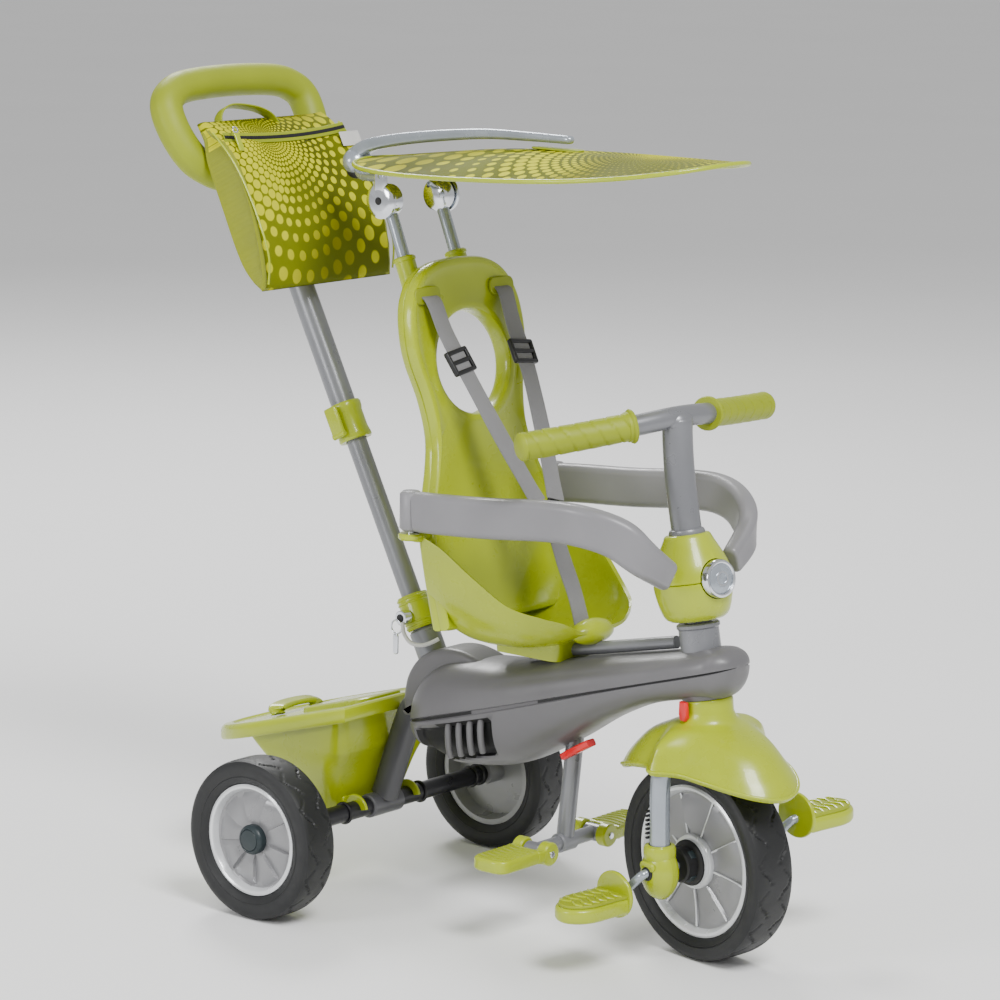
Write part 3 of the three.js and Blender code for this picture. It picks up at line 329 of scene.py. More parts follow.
def with_domes(path, lengths, rings=5):
    """The path with extra points near its ends, and the scale of each that rounds them off."""
    scales = [1.0] * len(path)
    for end, length in enumerate(lengths):
        if not length:
            continue
        tip = path[-1] if end else path[0]
        inner = path[-2] if end else path[1]
        ahead = (tip - inner).normalized()
        extra = [(tip + ahead * length * math.sin(a), math.cos(a))
                 for a in (math.pi / 2 * k / rings for k in range(1, rings + 1))]
        extra = [(p, max(s, 0.04)) for p, s in extra]
        if end:
            path = path + [p for p, _ in extra]
            scales = scales + [s for _, s in extra]
        else:
            path = [p for p, _ in reversed(extra)] + path
            scales = [s for _, s in reversed(extra)] + scales
    return path, scales


def tube(points, r, steps=40, n=24, domes=(0, 0), up=None):
    path, scales = with_domes(curve(points, steps), domes)
    return sweep(path, lambda i, t: circle(r * scales[i], n), up)


def rod(a, b, r, n=28, chamfer=0.8, end_r=None):
    """Straight round bar with softened ends."""
    ahead = (b - a).normalized()
    end_r = r if end_r is None else end_r
    path = [a, a + ahead * chamfer, b - ahead * chamfer, b]
    radii = [r - chamfer, r, end_r, end_r - chamfer]
    return sweep(path, lambda i, t: circle(radii[i], n))


def lathe(profile, n=64, shape=None, closed=False):
    """Solid of revolution about Z; profile points are (radius, height)."""
    rings = []
    for i in range(n):
        a = 2 * math.pi * i / n
        ring = []
        for k, (r, h) in enumerate(profile):
            if shape:
                r, h = shape(a, r, h, k)
            ring.append(V(r * math.cos(a), r * math.sin(a), h))
        rings.append(ring)
    verts = [p for ring in rings for p in ring]
    m = len(profile)
    faces = []
    for i in range(n):
        a, b = i * m, ((i + 1) % n) * m
        faces += [(a + k, b + k, b + (k + 1) % m, a + (k + 1) % m) for k in range(m if closed else m - 1)]
    return verts, faces


ALONG_X = Matrix.Rotation(math.pi / 2, 4, "Y")
ON_COLUMN = Matrix.Translation(COLUMN_AT) @ Matrix.Rotation(-RAKE, 4, "X")


def inset(outline, d):
    """Outline moved inwards by d, for a counter-clockwise outline."""
    out = []
    n = len(outline)
    for i, (x, y) in enumerate(outline):
        (ax, ay), (bx, by) = outline[i - 1], outline[(i + 1) % n]
        length = math.hypot(bx - ax, by - ay) or 1.0
        out.append((x - d * (by - ay) / length, y + d * (bx - ax) / length))
    return out


def slab(outline, depth, bevel=2.0, steps=3):
    """Plate with rounded edges: outline in X and Y, thickness along +Z."""
    levels = []
    for k in range(steps + 1):
        a = math.pi / 2 * k / steps
        levels.append((bevel * (1 - math.sin(a)), bevel * (1 - math.cos(a))))
    levels += [(d, depth - z) for d, z in reversed(levels)]
    return geometry([[V(x, y, z) for x, y in inset(outline, d)] for d, z in levels])


def block(sx, sy, sz, corner=2.0, bevel=None):
    """Box centred on the origin, with rounded corners and edges."""
    shape = slab(rounded(sx / 2, sy / 2, corner), sz, min(corner, bevel or corner, sz / 2.2) * 0.95)
    return shifted(shape, 0, 0, -sz / 2)


def ball(centre, rx, ry, rz, n=28):
    levels = 16
    profile = [(math.sin(math.pi * k / levels), -math.cos(math.pi * k / levels)) for k in range(levels + 1)]
    profile = [(max(r, 0.001), h) for r, h in profile]
    shape = lathe(profile, n)
    return moved(shape, Matrix.Translation(centre) @ Matrix.Diagonal((rx, ry, rz, 1)))


def place(name, parts, body, stands_for=(), steered=False, sharp=38.0):
    """One object from (shape, material) parts, riding on a CAD body."""
    mesh = bpy.data.meshes.new(name)
    verts, faces, owners, looks = [], [], [], []
    for shape, look in parts:
        if look not in looks:
            looks.append(look)
        start = len(verts)
        verts += [TURNED @ p if steered else p for p in shape[0]]
        faces += [tuple(start + i for i in face) for face in shape[1]]
        owners += [looks.index(look)] * len(shape[1])
    mesh.from_pydata([(p + SHIFT) * MM for p in verts], [], faces)
    for look in looks:
        mesh.materials.append(look)
    mesh.polygons.foreach_set("material_index", owners)
    finish_mesh(mesh, sharp)
    obj = bpy.data.objects.new(name, mesh)
    bpy.context.scene.collection.objects.link(obj)
    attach(obj, body)
    if stands_for:
        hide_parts(*stands_for)
    return obj


def finish_mesh(mesh, sharp):
    """Points the faces outwards and shades them smooth up to the sharp angle."""
    bm = bmesh.new()
    bm.from_mesh(mesh)
    bmesh.ops.recalc_face_normals(bm, faces=bm.faces)
    for face in bm.faces:
        face.smooth = True
    for edge in bm.edges:
        if len(edge.link_faces) == 2 and edge.calc_face_angle(0) > math.radians(sharp):
            edge.smooth = False
    bm.to_mesh(mesh)
    bm.free()


def carve(obj, shape):
    """Cuts a closed shape, in the same millimetres, out of an object."""
    mesh = bpy.data.meshes.new("cutter")
    mesh.from_pydata([(p + SHIFT) * MM for p in shape[0]], [], shape[1])
    finish_mesh(mesh, 30.0)
    cutter = bpy.data.objects.new("cutter", mesh)
    bpy.context.scene.collection.objects.link(cutter)
    modifier = obj.modifiers.new("cut", "BOOLEAN")
    modifier.object = cutter
    modifier.solver = "EXACT"
    bpy.context.view_layer.update()
    graph = bpy.context.evaluated_depsgraph_get()
    cut = bpy.data.meshes.new_from_object(obj.evaluated_get(graph))
    obj.modifiers.clear()
    obj.data = cut
    finish_mesh(cut, 38.0)
    bpy.data.objects.remove(cutter)
    return obj


# ------------------------------------------------------------------ body and frame
BODY = (
    (-33, 9, 304, 296), (-29, 20, 311, 280), (-18, 30, 316, 268), (0, 36, 315, 265),
    (60, 39, 302, 251), (115, 43, 290.5, 226), (170, 50, 279, 191), (230, 56, 266, 160),
    (300, 57, 259, 150), (335, 52, 246, 158), (356, 36, 222, 169), (364, 12, 198, 177),
)


def seam_z(y):
    return SEAM_AT_ZERO + SEAM_SLOPE * y


def body_top(y):
    return BODY_TOP_AT_ZERO + RAIL_SLOPE * y


def smooth_step(t):
    t = max(0.0, min(1.0, t))
    return t * t * (3 - 2 * t)


def in_recess(y, z):
    """How deep, from 0 to 1, a point of the flank is in the recess behind the saddle; the deep part is painted
    near-black as shade.
    """
    along = smooth_step((y - 232) / 8) * smooth_step((340 - y) / 8)
    below_seam = seam_z(y) - 7 - z
    down = smooth_step(below_seam / 5) * smooth_step((44 - below_seam) / 6)
    return along * down


def shell_half(y):
    """Half width of the body at a distance along it."""
    for (y0, half0, _, _), (y1, half1, _, _) in zip(BODY, BODY[1:]):
        if y0 <= y <= y1:
            return half0 + (half1 - half0) * (y - y0) / (y1 - y0)
    return BODY[-1][1]


def on_seam(p):
    """True on the floor of the groove between the two shells, which is painted near-black as shade."""
    return abs(p.z - seam_z(p.y)) < 0.25 and abs(p.x) > 6


def body_shell():
    stations = [Vector(s) for s in BODY]
    steps = 150
    rings = []
    power = 2 / 2.6
    lips = [math.radians(base + d) for base in (0, 180) for d in (-1.3, -0.6, 0.6, 1.3)]
    angles = sorted([2 * math.pi * i / 96 for i in range(96) if i not in (0, 48)]
                    + [a % (2 * math.pi) for a in lips])
    for s in curve(stations, steps):
        y, half, top, bottom = s
        ring = []
        for a in angles:
            wide = math.copysign(abs(math.cos(a)) ** power, math.cos(a))
            rise = math.copysign(abs(math.sin(a)) ** power, math.sin(a))
            seam = seam_z(y)
            z = seam + rise * ((top - seam) if rise > 0 else (seam - bottom))
            x = half * wide
            if abs(math.sin(a)) < math.sin(math.radians(0.9)):
                x -= math.copysign(min(2.2, abs(x) / 4), x)
            if 40 < y < 250 and z > seam:
                crease = math.exp(-(((z - seam) - 0.62 * (top - seam)) / 3.0) ** 2)
                x -= math.copysign(1.2 * crease, x)
            x -= math.copysign(9.0 * in_recess(y, z), x)
            ring.append(V(x, y, z))
        rings.append(ring)
    return geometry(rings)


def split_by(shape, test):
    """Two shapes: the faces whose middle passes the test, and the rest."""
    verts, faces = shape
    chosen, rest = [], []
    for face in faces:
        middle = sum((verts[i] for i in face), V(0, 0, 0)) / len(face)
        (chosen if test(middle) else rest).append(face)
    return (verts, chosen), (verts, rest)


SPINE = [V(0, 348, seam_z(348) + 12), V(0, 381, 192), V(0, 402, 145), V(0, 421, 92)]


def add_body():
    # Shell faces deep in the recess and on the seam-groove floor get the near-black material: painted shade.
    recess, plain = split_by(body_shell(), lambda p: in_recess(p.y, p.z) > 0.3 or on_seam(p))
    parts = [(plain, GREY), (recess, DARK)]
    for sign in (-1, 1):
        for y in (250, 264, 278, 292):
            foot = seam_z(y) - 41
            reach = shell_half(y) - 4.5
            rib = tube([V(sign * (reach - 5), y, foot - 3), V(sign * (reach - 1.5), y, foot + 8),
                        V(sign * reach, y, foot + 24), V(sign * (reach - 2), y, foot + 35)], 3.4, 14, 12, (1, 1))
            parts.append((rib, GREY))
    place("body_shell", parts, "frame", ("upper_shell", "lower_shell"))
    boss_profile = [(18, -62.5), (24.4, -62.5), (25.4, -61), (25.8, -54), (27.5, -48), (31, -43)]
    boss = moved(lathe(boss_profile, 56), ON_COLUMN)
    place("nose_boss", [(boss, GREY)], "frame", ())
    rings = [(rod(column_point(-64), column_point(10), 20, 40), PAINT),
             (rod(column_point(6), column_point(12), 21.5, 40, 1.5), PAINT)]
    place("head_tube_look", rings, "frame", ("head_tube",))
    outer = [(262, 254), (285, 263), (310, 267.5), (335, 264), (358, 252), (373, 232), (378, 210), (377, 188)]
    inner = [(340, 188), (330, 205), (316, 220), (300, 228), (262, 230)]
    outline = [tuple(p) for p in curve([Vector(p) for p in outer], 40)] + inner
    to_side = Matrix(((0, 0, 1, -24), (1, 0, 0, 0), (0, 1, 0, 0), (0, 0, 0, 1)))
    band = moved(slab(outline[::-1], 48, 7, 6), to_side)
    socket = rod(pole_point(-12), pole_point(27), 15.8, 36, 2)
    place("rear_bridge_look", [(band, GREY), (socket, PAINT)], "frame", ("rear_bridge",))
    oval = [(s * 15.5, u * 11.6) for s, u in circle(1, 32)]
    pillar = sweep(curve(SPINE, 40), lambda i, t: oval, V(1, 0, 0))
    place("frame_pillar", [(pillar, DARK_PAINT)], "frame", ("main_frame",))
    rail = rod(V(0, 44, body_top(44) + 7.6), V(0, 224, body_top(224) + 7.6), 6.5, 24)
    stop = rod(V(0, 226, body_top(226) + 9), V(0, 229, body_top(229) + 9), 7.5, 24)
    place("seat_rail_look", [(rail, PAINT), (stop, PAINT)], "frame", ("seat_rail",))


def add_axle():
    end = TRACK / 2 - 21
    at = lambda x: V(x, WHEELBASE, REAR_R)
    parts = [(rod(at(-end), at(end), 9.5, 32), BLACK_STEEL),
             (rod(at(-24), at(24), 12.5, 32, 1.5), DARK_PAINT)]
    for sign in (-1, 1):
        for x, wide in ((end - 7, 6), (end - 20, 3), (60, 4)):
            parts.append((rod(at(sign * x - wide / 2), at(sign * x + wide / 2), 12.0, 32, 1.2), BLACK))
    place("rear_axle_look", parts, "frame", ("rear_axle_tube",))
    rod_end = TRACK / 2 + 11
    place("rear_axle_core", [(rod(at(-rod_end), at(rod_end), 5.9, 20), CHROME)], "frame",
          ("rear_axle_rod",))


# ------------------------------------------------------------------ wheels
def tyre(radius, half, seat):
    """Ring with a rounded crown, slanted shoulder sipes and a rib on each flank."""
    flank = [(seat, 0.74), (seat + 1.5, 0.83), (seat + 5, 0.90), (seat + 7, 0.955), (seat + 8, 0.93),
             (radius - 14, 0.97), (radius - 9, 1.0), (radius - 5.5, 0.985), (radius - 3.5, 0.93)]
    crown = [(radius - 3.4 * w ** 5, w) for w in (0.88, 0.82, 0.74, 0.66, 0.58, 0.50, 0.42, 0.34, 0.26, 0.13)]
    side = [(r, w * half) for r, w in flank + crown]
    profile = side + [(radius, 0.0)] + [(r, -h) for r, h in reversed(side)]
    slots = round(radius * 0.17)

    def cut(a, r, h, k):
        share = abs(h) / half
        if r < radius - 5 or share < 0.16:
            return r, h
        phase = a * slots / (2 * math.pi) + (0.5 if h > 0 else 0.0)
        kink = 0.10 * abs((share * 5) % 2 - 1)
        long_cut = (phase + 0.85 * share + kink) % 1.0
        cross_cut = (phase - 0.75 * share + 0.35) % 1.0
        depth = 1.3 if long_cut < 0.075 and share < 0.86 else 0.0
        if cross_cut < 0.06 and 0.40 < share < 0.78:
            depth = max(depth, 0.9)
        return r - depth * min(1.0, (0.9 - share) * 6), h

    return moved(lathe(profile, slots * 26, cut, closed=True), ALONG_X)


def panels(count, low, high, step):
    """Shape for a dished disc of pie panels, each ramped so that it steps at its edge."""

    def ramp(a, r, h, k):
        if low < r < high and h < 0:
            turn = (a * count / (2 * math.pi)) % 1.0
            rise = smooth_step(min(1.0, (r - low) / 6)) * smooth_step(min(1.0, (high - r) / 6))
            return r, h - step * (1 - turn) * rise
        return r, h

    return ramp


def rear_wheel(side, sign):
    seat = 58
    at = Matrix.Translation(V(sign * TRACK / 2, WHEELBASE, REAR_R))
    facing = at @ Matrix.Diagonal((-sign, 1, 1, 1))
    disc = [(14.6, -9.5), (17, -9.2), (24, -9), (34, -8.6), (44, -8.2), (48, -8.2), (50.5, -9.5)]
    lip = [(50.5, -9.5), (51.5, -13.5), (53, -16.6), (55.2, -17.6), (57.3, -16.8), (57.8, -14)]
    back = [(57.8, 15), (52, 15), (51, 8), (49, -2), (13, -2), (13, 20), (6.4, 20), (6.4, -9)]
    disc_shape = moved(lathe(disc, 216, panels(9, 16, 49.5, 4.2)), facing @ ALONG_X)
    lip_shape = moved(lathe(lip, 96), facing @ ALONG_X)
    back_shape = moved(lathe([(6.4, -9.5), (14.6, -9.5)], 48), facing @ ALONG_X)
    inside = moved(lathe([lip[-1]] + back, 64), facing @ ALONG_X)
    body = f"rear_wheel_{side}"
    place(f"rear_tyre_{side}_look", [(moved(tyre(REAR_R, 22, seat), at), RUBBER)], body,
          (f"rear_tyre_{side}",), sharp=30)
    place(f"rear_rim_{side}_look", [(disc_shape, RIM), (lip_shape, RIM_EDGE), (back_shape, RIM),
                                    (inside, RIM)], body, (f"rear_rim_{side}",))
    cap = lathe([(15.2, -9), (15.4, -15.5), (14.6, -17.6), (11.5, -19.6), (11.0, -19.0), (10.5, -19.8),
                 (5, -20.5), (0.01, -20.6)], 48)
    place(f"hub_cap_{side}_look", [(moved(cap, facing @ ALONG_X), CAP)], body, (f"hub_cap_{side}",))


def front_wheel():
    at = Matrix.Translation(V(0, FRONT_AXLE_Y, FRONT_R)) @ ALONG_X
    place("front_tyre_look", [(moved(tyre(FRONT_R, 25, 77), Matrix.Translation(V(0, FRONT_AXLE_Y, FRONT_R))),
                               RUBBER)], "front_wheel", ("front_tyre",), steered=True, sharp=30)
    parts = []
    disc = [(27, -15), (30, -14.6), (40, -13.2), (52, -12), (62, -11.4), (66, -11.6), (68.5, -12.5)]
    lip = [(68.5, -12.5), (70, -16.5), (72, -19.2), (74.5, -19.8), (76.5, -18.6), (76.9, -15.5)]
    hub = [(27, -14), (27.5, -19), (26.5, -20.6), (23.6, -21), (23.2, -24)]
    clutch = [(23.2, -20), (22.6, -25.5), (20, -27.5), (17.6, -28), (17.2, -38.4), (15.5, -40), (5, -40)]
    for flip in (1, -1):
        facing = at @ Matrix.Diagonal((1, 1, flip, 1))
        parts.append((moved(lathe(disc, 216, panels(9, 29, 67.5, 3.6)), facing), RIM))
        parts.append((moved(lathe(lip, 96), facing), RIM_EDGE))
        parts.append((moved(lathe(hub, 64), facing), RIM_EDGE))
        parts.append((moved(lathe(clutch, 64), facing), DARK))
        for k in range(9):
            a = 2 * math.pi * k / 9
            toward = V(math.cos(a), math.sin(a), 0)
            spoke = tube([toward * 29 + V(0, 0, -16.4), toward * 48 + V(0, 0, -14.4),
                          toward * 67 + V(0, 0, -13.4)], 1.1, 8, 8, (1, 1))
            parts.append((moved(spoke, facing), RIM_EDGE))
        for k in range(4):
            lug = shifted(block(2.2, 8.5, 7, 0.8), 17.2, 0, -31)
            turn = Matrix.Rotation(math.pi * (k / 2 + 0.25), 4, "Z")
            parts.append((moved(lug, facing @ turn), CAP))
    parts.append((moved(lathe([(76.9, -15.5), (76.9, 15.5)], 96), at), RIM))
    place("front_rim_look", parts, "front_wheel", ("front_rim",), steered=True)


# ------------------------------------------------------------------ steering
LEG = [(0, 3, 217), (24, 3, 217.5), (44, 4, 214.5), (59, 5.5, 200), (62, 6.5, 180), (62, 7, 130), (62, 7, 88)]


def add_fork():
    parts = [(rod(column_point(-113), column_point(56), 13.5, 32), PAINT)]
    for sign in (-1, 1):
        leg = [V(sign * x, y, z) for x, y, z in LEG]
        parts.append((tube(leg, 10, 60, 28), SILVER))
        for k in range(7):
            z = 133 + k * 4.4
            parts.append((shifted(block(6, 3.2, 2.2, 0.7), sign * 69.5, 15.5, z), DARK))
    place("fork_look", parts, "steering", ("fork",), steered=True)
    for side, sign in SIDES:
        centre = V(sign * 62, FRONT_AXLE_Y, FRONT_R - 2)
        egg = ball(centre, 17.5, 20.5, 27, 40)
        collar = moved(lathe([(11, 14), (15.4, 15), (16, 18), (16, 24), (14.8, 27.5), (11, 28.6)], 40),
                       Matrix.Translation(centre))
        seam = ball(centre + V(sign * 0.5, 0, 0), 1.2, 20.9, 27.4, 40)
        tab = moved(block(9, 20, 3.4, 4.4), Matrix.Translation(centre + V(sign * 16.2, 0, 9))
                    @ Matrix.Rotation(math.pi / 2, 4, "Y"))
        nut = rod(centre + V(sign * 14, 0, 2), centre + V(sign * 18.5, 0, 2), 7.4, 24, 1.2)
        place(f"axle_cover_{side}_look", [(egg, GREEN), (collar, GREEN), (seam, GREEN_SOFT), (tab, GREEN),
                                          (nut, DARK)], "steering", (f"axle_cover_{side}",),
              steered=True)


FENDER = (
    (252, 5, 25, 25, 0, 0, 0), (243, 3, 28, 28, 3, 0, 0), (238, 3, 44, 36, 14, 2, 1),
    (227, 3, 74, 45, 22, 6, 4), (212, 4, 98, 55, 19, 16, 12), (204, 4, 108, 61, 16, 26, 18),
)


def fender_ring(level, grow, count=120):
    """One ring of the dome: height, middle, half length, half width, leg bulge, end droops."""
    z, y, a, b, bulge, rear, front = level
    ring = []
    for i in range(count):
        turn = 2 * math.pi * i / count
        dx, dy = math.sin(turn), math.cos(turn)
        swell = bulge * math.exp(-((dy * a / 15) ** 2)) * math.copysign(smooth_step(abs(dx) * 2.5), dx)
        droop = rear if dy > 0 else front
        ring.append(V((b + grow) * dx + swell, y + (a + grow) * dy, z - droop * dy * dy + grow * 0.5))
    return ring


def neck_rings(grow, count=120):
    """Top of the neck, square to the column so that it turns just under the body's boss."""
    across = V(0, COLUMN_AXIS.z, -COLUMN_AXIS.y)
    rings = []
    for t, r in ((-63.3, 24.2), (-64.2, 25.0), (-67.0, 25.2)):
        turns = [2 * math.pi * i / count for i in range(count)]
        rings.append([column_point(t) + V(1, 0, 0) * (r + grow) * math.sin(a) + across * (r + grow) * math.cos(a)
                      for a in turns])
    return rings


def add_fender():
    levels = curve([Vector(level) for level in FENDER], 34)
    rings = neck_rings(0) + [fender_ring(level, 0) for level in levels]
    low = levels[-1]
    for drop, grow in ((1.2, 0.6), (3.0, 0.9), (4.4, 0.2), (4.8, -1.2), (4.2, -2.4)):
        rings.append([p - V(0, 0, drop) for p in fender_ring(low, grow)])
    rings += [fender_ring(level, -2.8) for level in reversed(levels)] + neck_rings(-2.8)[::-1]
    dome = geometry(rings, closed_rings=True)
    bead = sweep([p - V(0, 0, 1.5) for p in fender_ring(low, 0.4, 160)], lambda i, t: circle(1.9, 12),
                 V(0, 0, 1), closed=True)
    place("fender_look", [(dome, GREEN), (bead, GREEN)], "steering", ("fender",),
          steered=True)
    outline = [(-4.5, 5), (-5.5, -8), (-3, -14), (3, -14), (5.5, -8), (4.5, 5)]
    lever = slab(outline, 5, 1.2)
    knob = shifted(block(7, 4, 4, 1.5), 0, -11, 5.5)
    stand = Matrix.Translation(V(-33, 7, 259)) @ Matrix.Rotation(math.pi / 2, 4, "Z") @ Matrix.Rotation(
        math.pi / 2, 4, "X")
    place("clutch_lever_look", [(moved(lever, stand), RED), (moved(knob, stand), RED)], "clutch_lever",
          ("clutch_lever",), steered=True)


BAR = [V(-152, 94, 521), V(-100, 80, 525), V(-46, 59, 532), V(0, 50, 536), V(46, 59, 532),
       V(100, 80, 525), V(152, 94, 521)]


def add_handlebar():
    stem = tube([column_point(50), column_point(78), column_point(98), V(0, 45, 470), V(0, 49, 505),
                 V(0, 50, 533)], 15, 30, 32, (0, 5))
    bar = tube(BAR, 10.5, 60, 28)
    weld = ball(V(0, 50, 531), 16.5, 14.5, 13, 36)
    collar = moved(lathe([(15, 96), (17.5, 97), (18.2, 100), (17, 103), (15, 104)], 40), ON_COLUMN)
    place("handlebar_look", [(stem, PAINT), (bar, PAINT), (weld, PAINT), (collar, PAINT)], "steering",
          ("handlebar",), steered=True)
    for side, sign in SIDES:
        path = curve([V(sign * 158, 96, 520.5), V(sign * 100, 80, 525), V(sign * 48, 60, 531.6)], 96)
        path, scales = with_domes(path, (6, 0))
        length = (path[-1] - path[0]).length

        def section(i, t):
            out = []
            for k in range(48):
                a = 2 * math.pi * k / 48
                s = t * length
                r = 14.0
                if s > length - 7:
                    r = 17.2 - 1.2 * abs(s - length + 3.5) / 3.5
                elif s > length - 12:
                    r = 14.8
                elif s > 8:
                    wave = (s / 15.0 + 1.1 * abs((a / math.pi + 0.3) % 2 - 1)) % 1.0
                    r -= 1.2 if wave < 0.11 else 0.5 * wave
                out.append((r * scales[i] * math.cos(a), r * scales[i] * math.sin(a)))
            return out

        place(f"grip_{side}_look", [(sweep(path, section), GREEN_SOFT)], "steering", (f"grip_{side}",),
              steered=True, sharp=50)


def add_steering_cover():
    lower = [(16, 14), (22, 14), (26.5, 14.8), (30.5, 17.5), (33.2, 22), (35.2, 28), (37, 36), (38.4, 44),
             (38.8, 48), (38.8, 51), (38.0, 51.9), (16, 51.9)]
    upper = [(16, 52.5), (38.2, 52.5), (39.2, 53.6), (39.2, 57), (38.2, 63), (36, 70), (33, 77), (29.5, 84),
             (26, 90.5), (23.8, 95), (22.6, 97.6), (21, 98.6), (16, 98.6)]
    pocket = moved(rod(V(0, -60, 54), V(0, -29.2, 54), 19.8, 48, 0.1), ON_COLUMN)
    for name, profile in (("lower", lower), ("upper", upper)):
        shape = moved(lathe(profile, 72, closed=True), ON_COLUMN)
        cover = place(f"steering_cover_{name}_look", [(shape, GREEN)], "steering",
                      (f"steering_cover_{name}",))
        carve(cover, pocket)
        turn_steered(cover)
    face = Matrix.Translation(V(0, -33.6, 54)) @ Matrix.Rotation(math.pi / 2, 4, "X")
    bezel = lathe([(19, 0), (19, 7), (18.2, 8.8), (16.4, 9.4), (15, 8.6), (14.6, 7.4)], 64)
    cap = lathe([(14.6, 7.4), (13, 8.3), (8, 9.2), (0.01, 9.6)], 64)
    ring = lathe([(7.4, 9.1), (7.4, 10.2), (5.6, 10.2), (5.6, 9.2)], 48, closed=True)
    parts = [(moved(shape, ON_COLUMN @ face), look) for shape, look in
             ((bezel, CHROME), (cap, SILVER), (ring, CHROME))]
    place("badge_button_look", parts, "badge", ("badge_button",), steered=True)


def turn_steered(obj):
    """Turns a piece made straight ahead to the resting steering angle."""
    to_row = Matrix.Translation(SHIFT)
    obj.data.transform(Matrix.Scale(1 / MM, 4))
    obj.data.transform(to_row @ TURNED @ to_row.inverted())
    obj.data.transform(Matrix.Scale(MM, 4))


CRANK_Y = 24
CRANK_Z = -26


def add_crank():
    half = [(166, 1), (120, 1), (104, 1), (97, 1), (92, 0.86), (86, 0.14), (81, 0), (74, 0), (50, 0)]
    right = [V(-x, FRONT_AXLE_Y + t * CRANK_Y, FRONT_R + t * CRANK_Z) for x, t in half]
    left = [V(x, FRONT_AXLE_Y - t * CRANK_Y, FRONT_R - t * CRANK_Z) for x, t in half]
    path = right + [V(0, FRONT_AXLE_Y, FRONT_R)] + left[::-1]
    place("crank_look", [(tube(path, 4.5, 190, 16), SILVER)], "crank", ("crank_axle",),
          steered=True)
    for side, sign in SIDES:
        outline = [(0, -22), (14, -24), (40, -25)]
        outline += [(40 + 32 * math.cos(a), 25 * math.sin(a))
                    for a in (math.pi * (k / 20 - 0.5) for k in range(1, 20))]
        outline += [(40, 25), (14, 24), (0, 22)]
        deck = shifted(slab(outline, 15, 4.5, 4), 0, 0, -11)
        rim = [(x, y) for x, y in outline]
        top = shifted(slab(inset(rim, 3.4), 4, 1.6, 3), 0, 0, 3.4)
        parts = [(deck, GREEN), (top, GREEN_SOFT)]
        for row in range(6):
            x = 9 + row * 9.5
            reach = 19 if x < 42 else 19 * math.sqrt(max(0.05, 1 - ((x - 40) / 30) ** 2))
            for lean in (-1, 1):
                rib = tube([V(x, lean * 1.5, 7.6), V(x + 4, lean * reach * 0.55, 7.8),
                            V(x + 1, lean * reach, 7.2)], 1.3, 8, 8, (1, 1))
                parts.append((rib, GREEN))
        flange_outline = [(0.0 + 25.5 * math.cos(a), 4 + 25.5 * math.sin(a) * 0.92)
                          for a in (2 * math.pi * k / 40 for k in range(40))]
        flange = moved(slab(flange_outline, 4.6, 1.8, 3), Matrix.Translation(V(-1, 0, 0))
                       @ Matrix(((0, 0, 1, 0), (1, 0, 0, 0), (0, 1, 0, 0), (0, 0, 0, 1))))
        parts.append((flange, GREEN))
        fit = Matrix.Translation(V(sign * 98, FRONT_AXLE_Y - sign * CRANK_Y, FRONT_R - sign * CRANK_Z))
        fit = fit @ Matrix.Diagonal((sign, 1, 1, 1))
        place(f"pedal_{side}_look", [(moved(shape, fit), look) for shape, look in parts],
              f"pedal_{side}", (f"pedal_{side}",), steered=True)


# ------------------------------------------------------------------ seat
BACK_HALF = ((96, 0), (99, 60), (97, 105), (80, 150), (70, 190), (74, 230), (86, 270), (88, 300), (82, 330),
             (64, 354), (36, 366), (0, 369))
BACK_BOTTOM_Z = 302
LEAN = math.atan(BACK_SLOPE)
BACK_FRAME = (Matrix.Translation(V(0, 285 + BACK_SLOPE * (BACK_BOTTOM_Z - 341), BACK_BOTTOM_Z))
              @ Matrix.Rotation(math.pi / 2 - LEAN, 4, "X"))
RING_MIDDLE = 262


def outline_towards(line, centre, count):
    """Points of a closed outline at even angles round a centre."""
    found = []
    for k in range(count):
        a = 2 * math.pi * k / count
        d = Vector((math.cos(a), math.sin(a)))
        best = 0.0
        for (ax, ay), (bx, by) in zip(line, line[1:] + line[:1]):
            p = Vector((ax, ay)) - centre
            e = Vector((bx - ax, by - ay))
            cross = d.x * e.y - d.y * e.x
            if abs(cross) < 1e-9:
                continue
            t = (p.x * e.y - p.y * e.x) / cross
            u = (p.x * d.y - p.y * d.x) / cross
            if t > 0 and -1e-6 <= u <= 1 + 1e-6:
                best = max(best, t)
        found.append(centre + d * best)
    return found


def seat_back():
    half = curve([Vector((x, h)) for x, h in BACK_HALF], 60)
    line = [tuple(p) for p in half] + [(-p.x, p.y) for p in reversed(half[:-1])]
    count = 160
    centre = Vector((0, RING_MIDDLE))
    outer = outline_towards(line, centre, count)
    inner = []
    for k in range(count):
        a = 2 * math.pi * k / count
        inner.append(centre + Vector((55 * math.cos(a), 52 * math.sin(a))))
    section = [(0, 7), (0.4, 4), (2, 1.2), (5, 0)]
    section += [("far", 5, 0), ("far", 2, 1.2), ("far", 0.4, 4), ("far", 0, 9.6), ("far", 1.0, 10.2),
                ("far", 1.0, 11.0), ("far", 0, 11.6), ("far", 0.4, 18), ("far", 2, 20.8), ("far", 5, 22),
                ("far", 9, 21.4), ("far", 14, 19.4)]
    section += [(14, 19.4), (9, 21.4), (5, 22), (2, 20.8), (0.4, 18), (0, 14)]
    rings = []
    for k in range(count):
        span = (outer[k] - inner[k]).length
        toward = (outer[k] - inner[k]).normalized()
        ring = []
        for entry in section:
            far, d, depth = entry if len(entry) == 3 else (None, *entry)
            at = outer[k] - toward * min(d, span * 0.45) if far else inner[k] + toward * min(d, span * 0.45)
            ring.append(BACK_FRAME @ V(at.x, at.y, depth))
        rings.append(ring)
    return geometry(rings, closed_rings=True)


def post_point(sign, along):
    return V(sign * 40, PIVOT.y, PIVOT.z) + V(0, 0.374, 0.927).normalized() * along


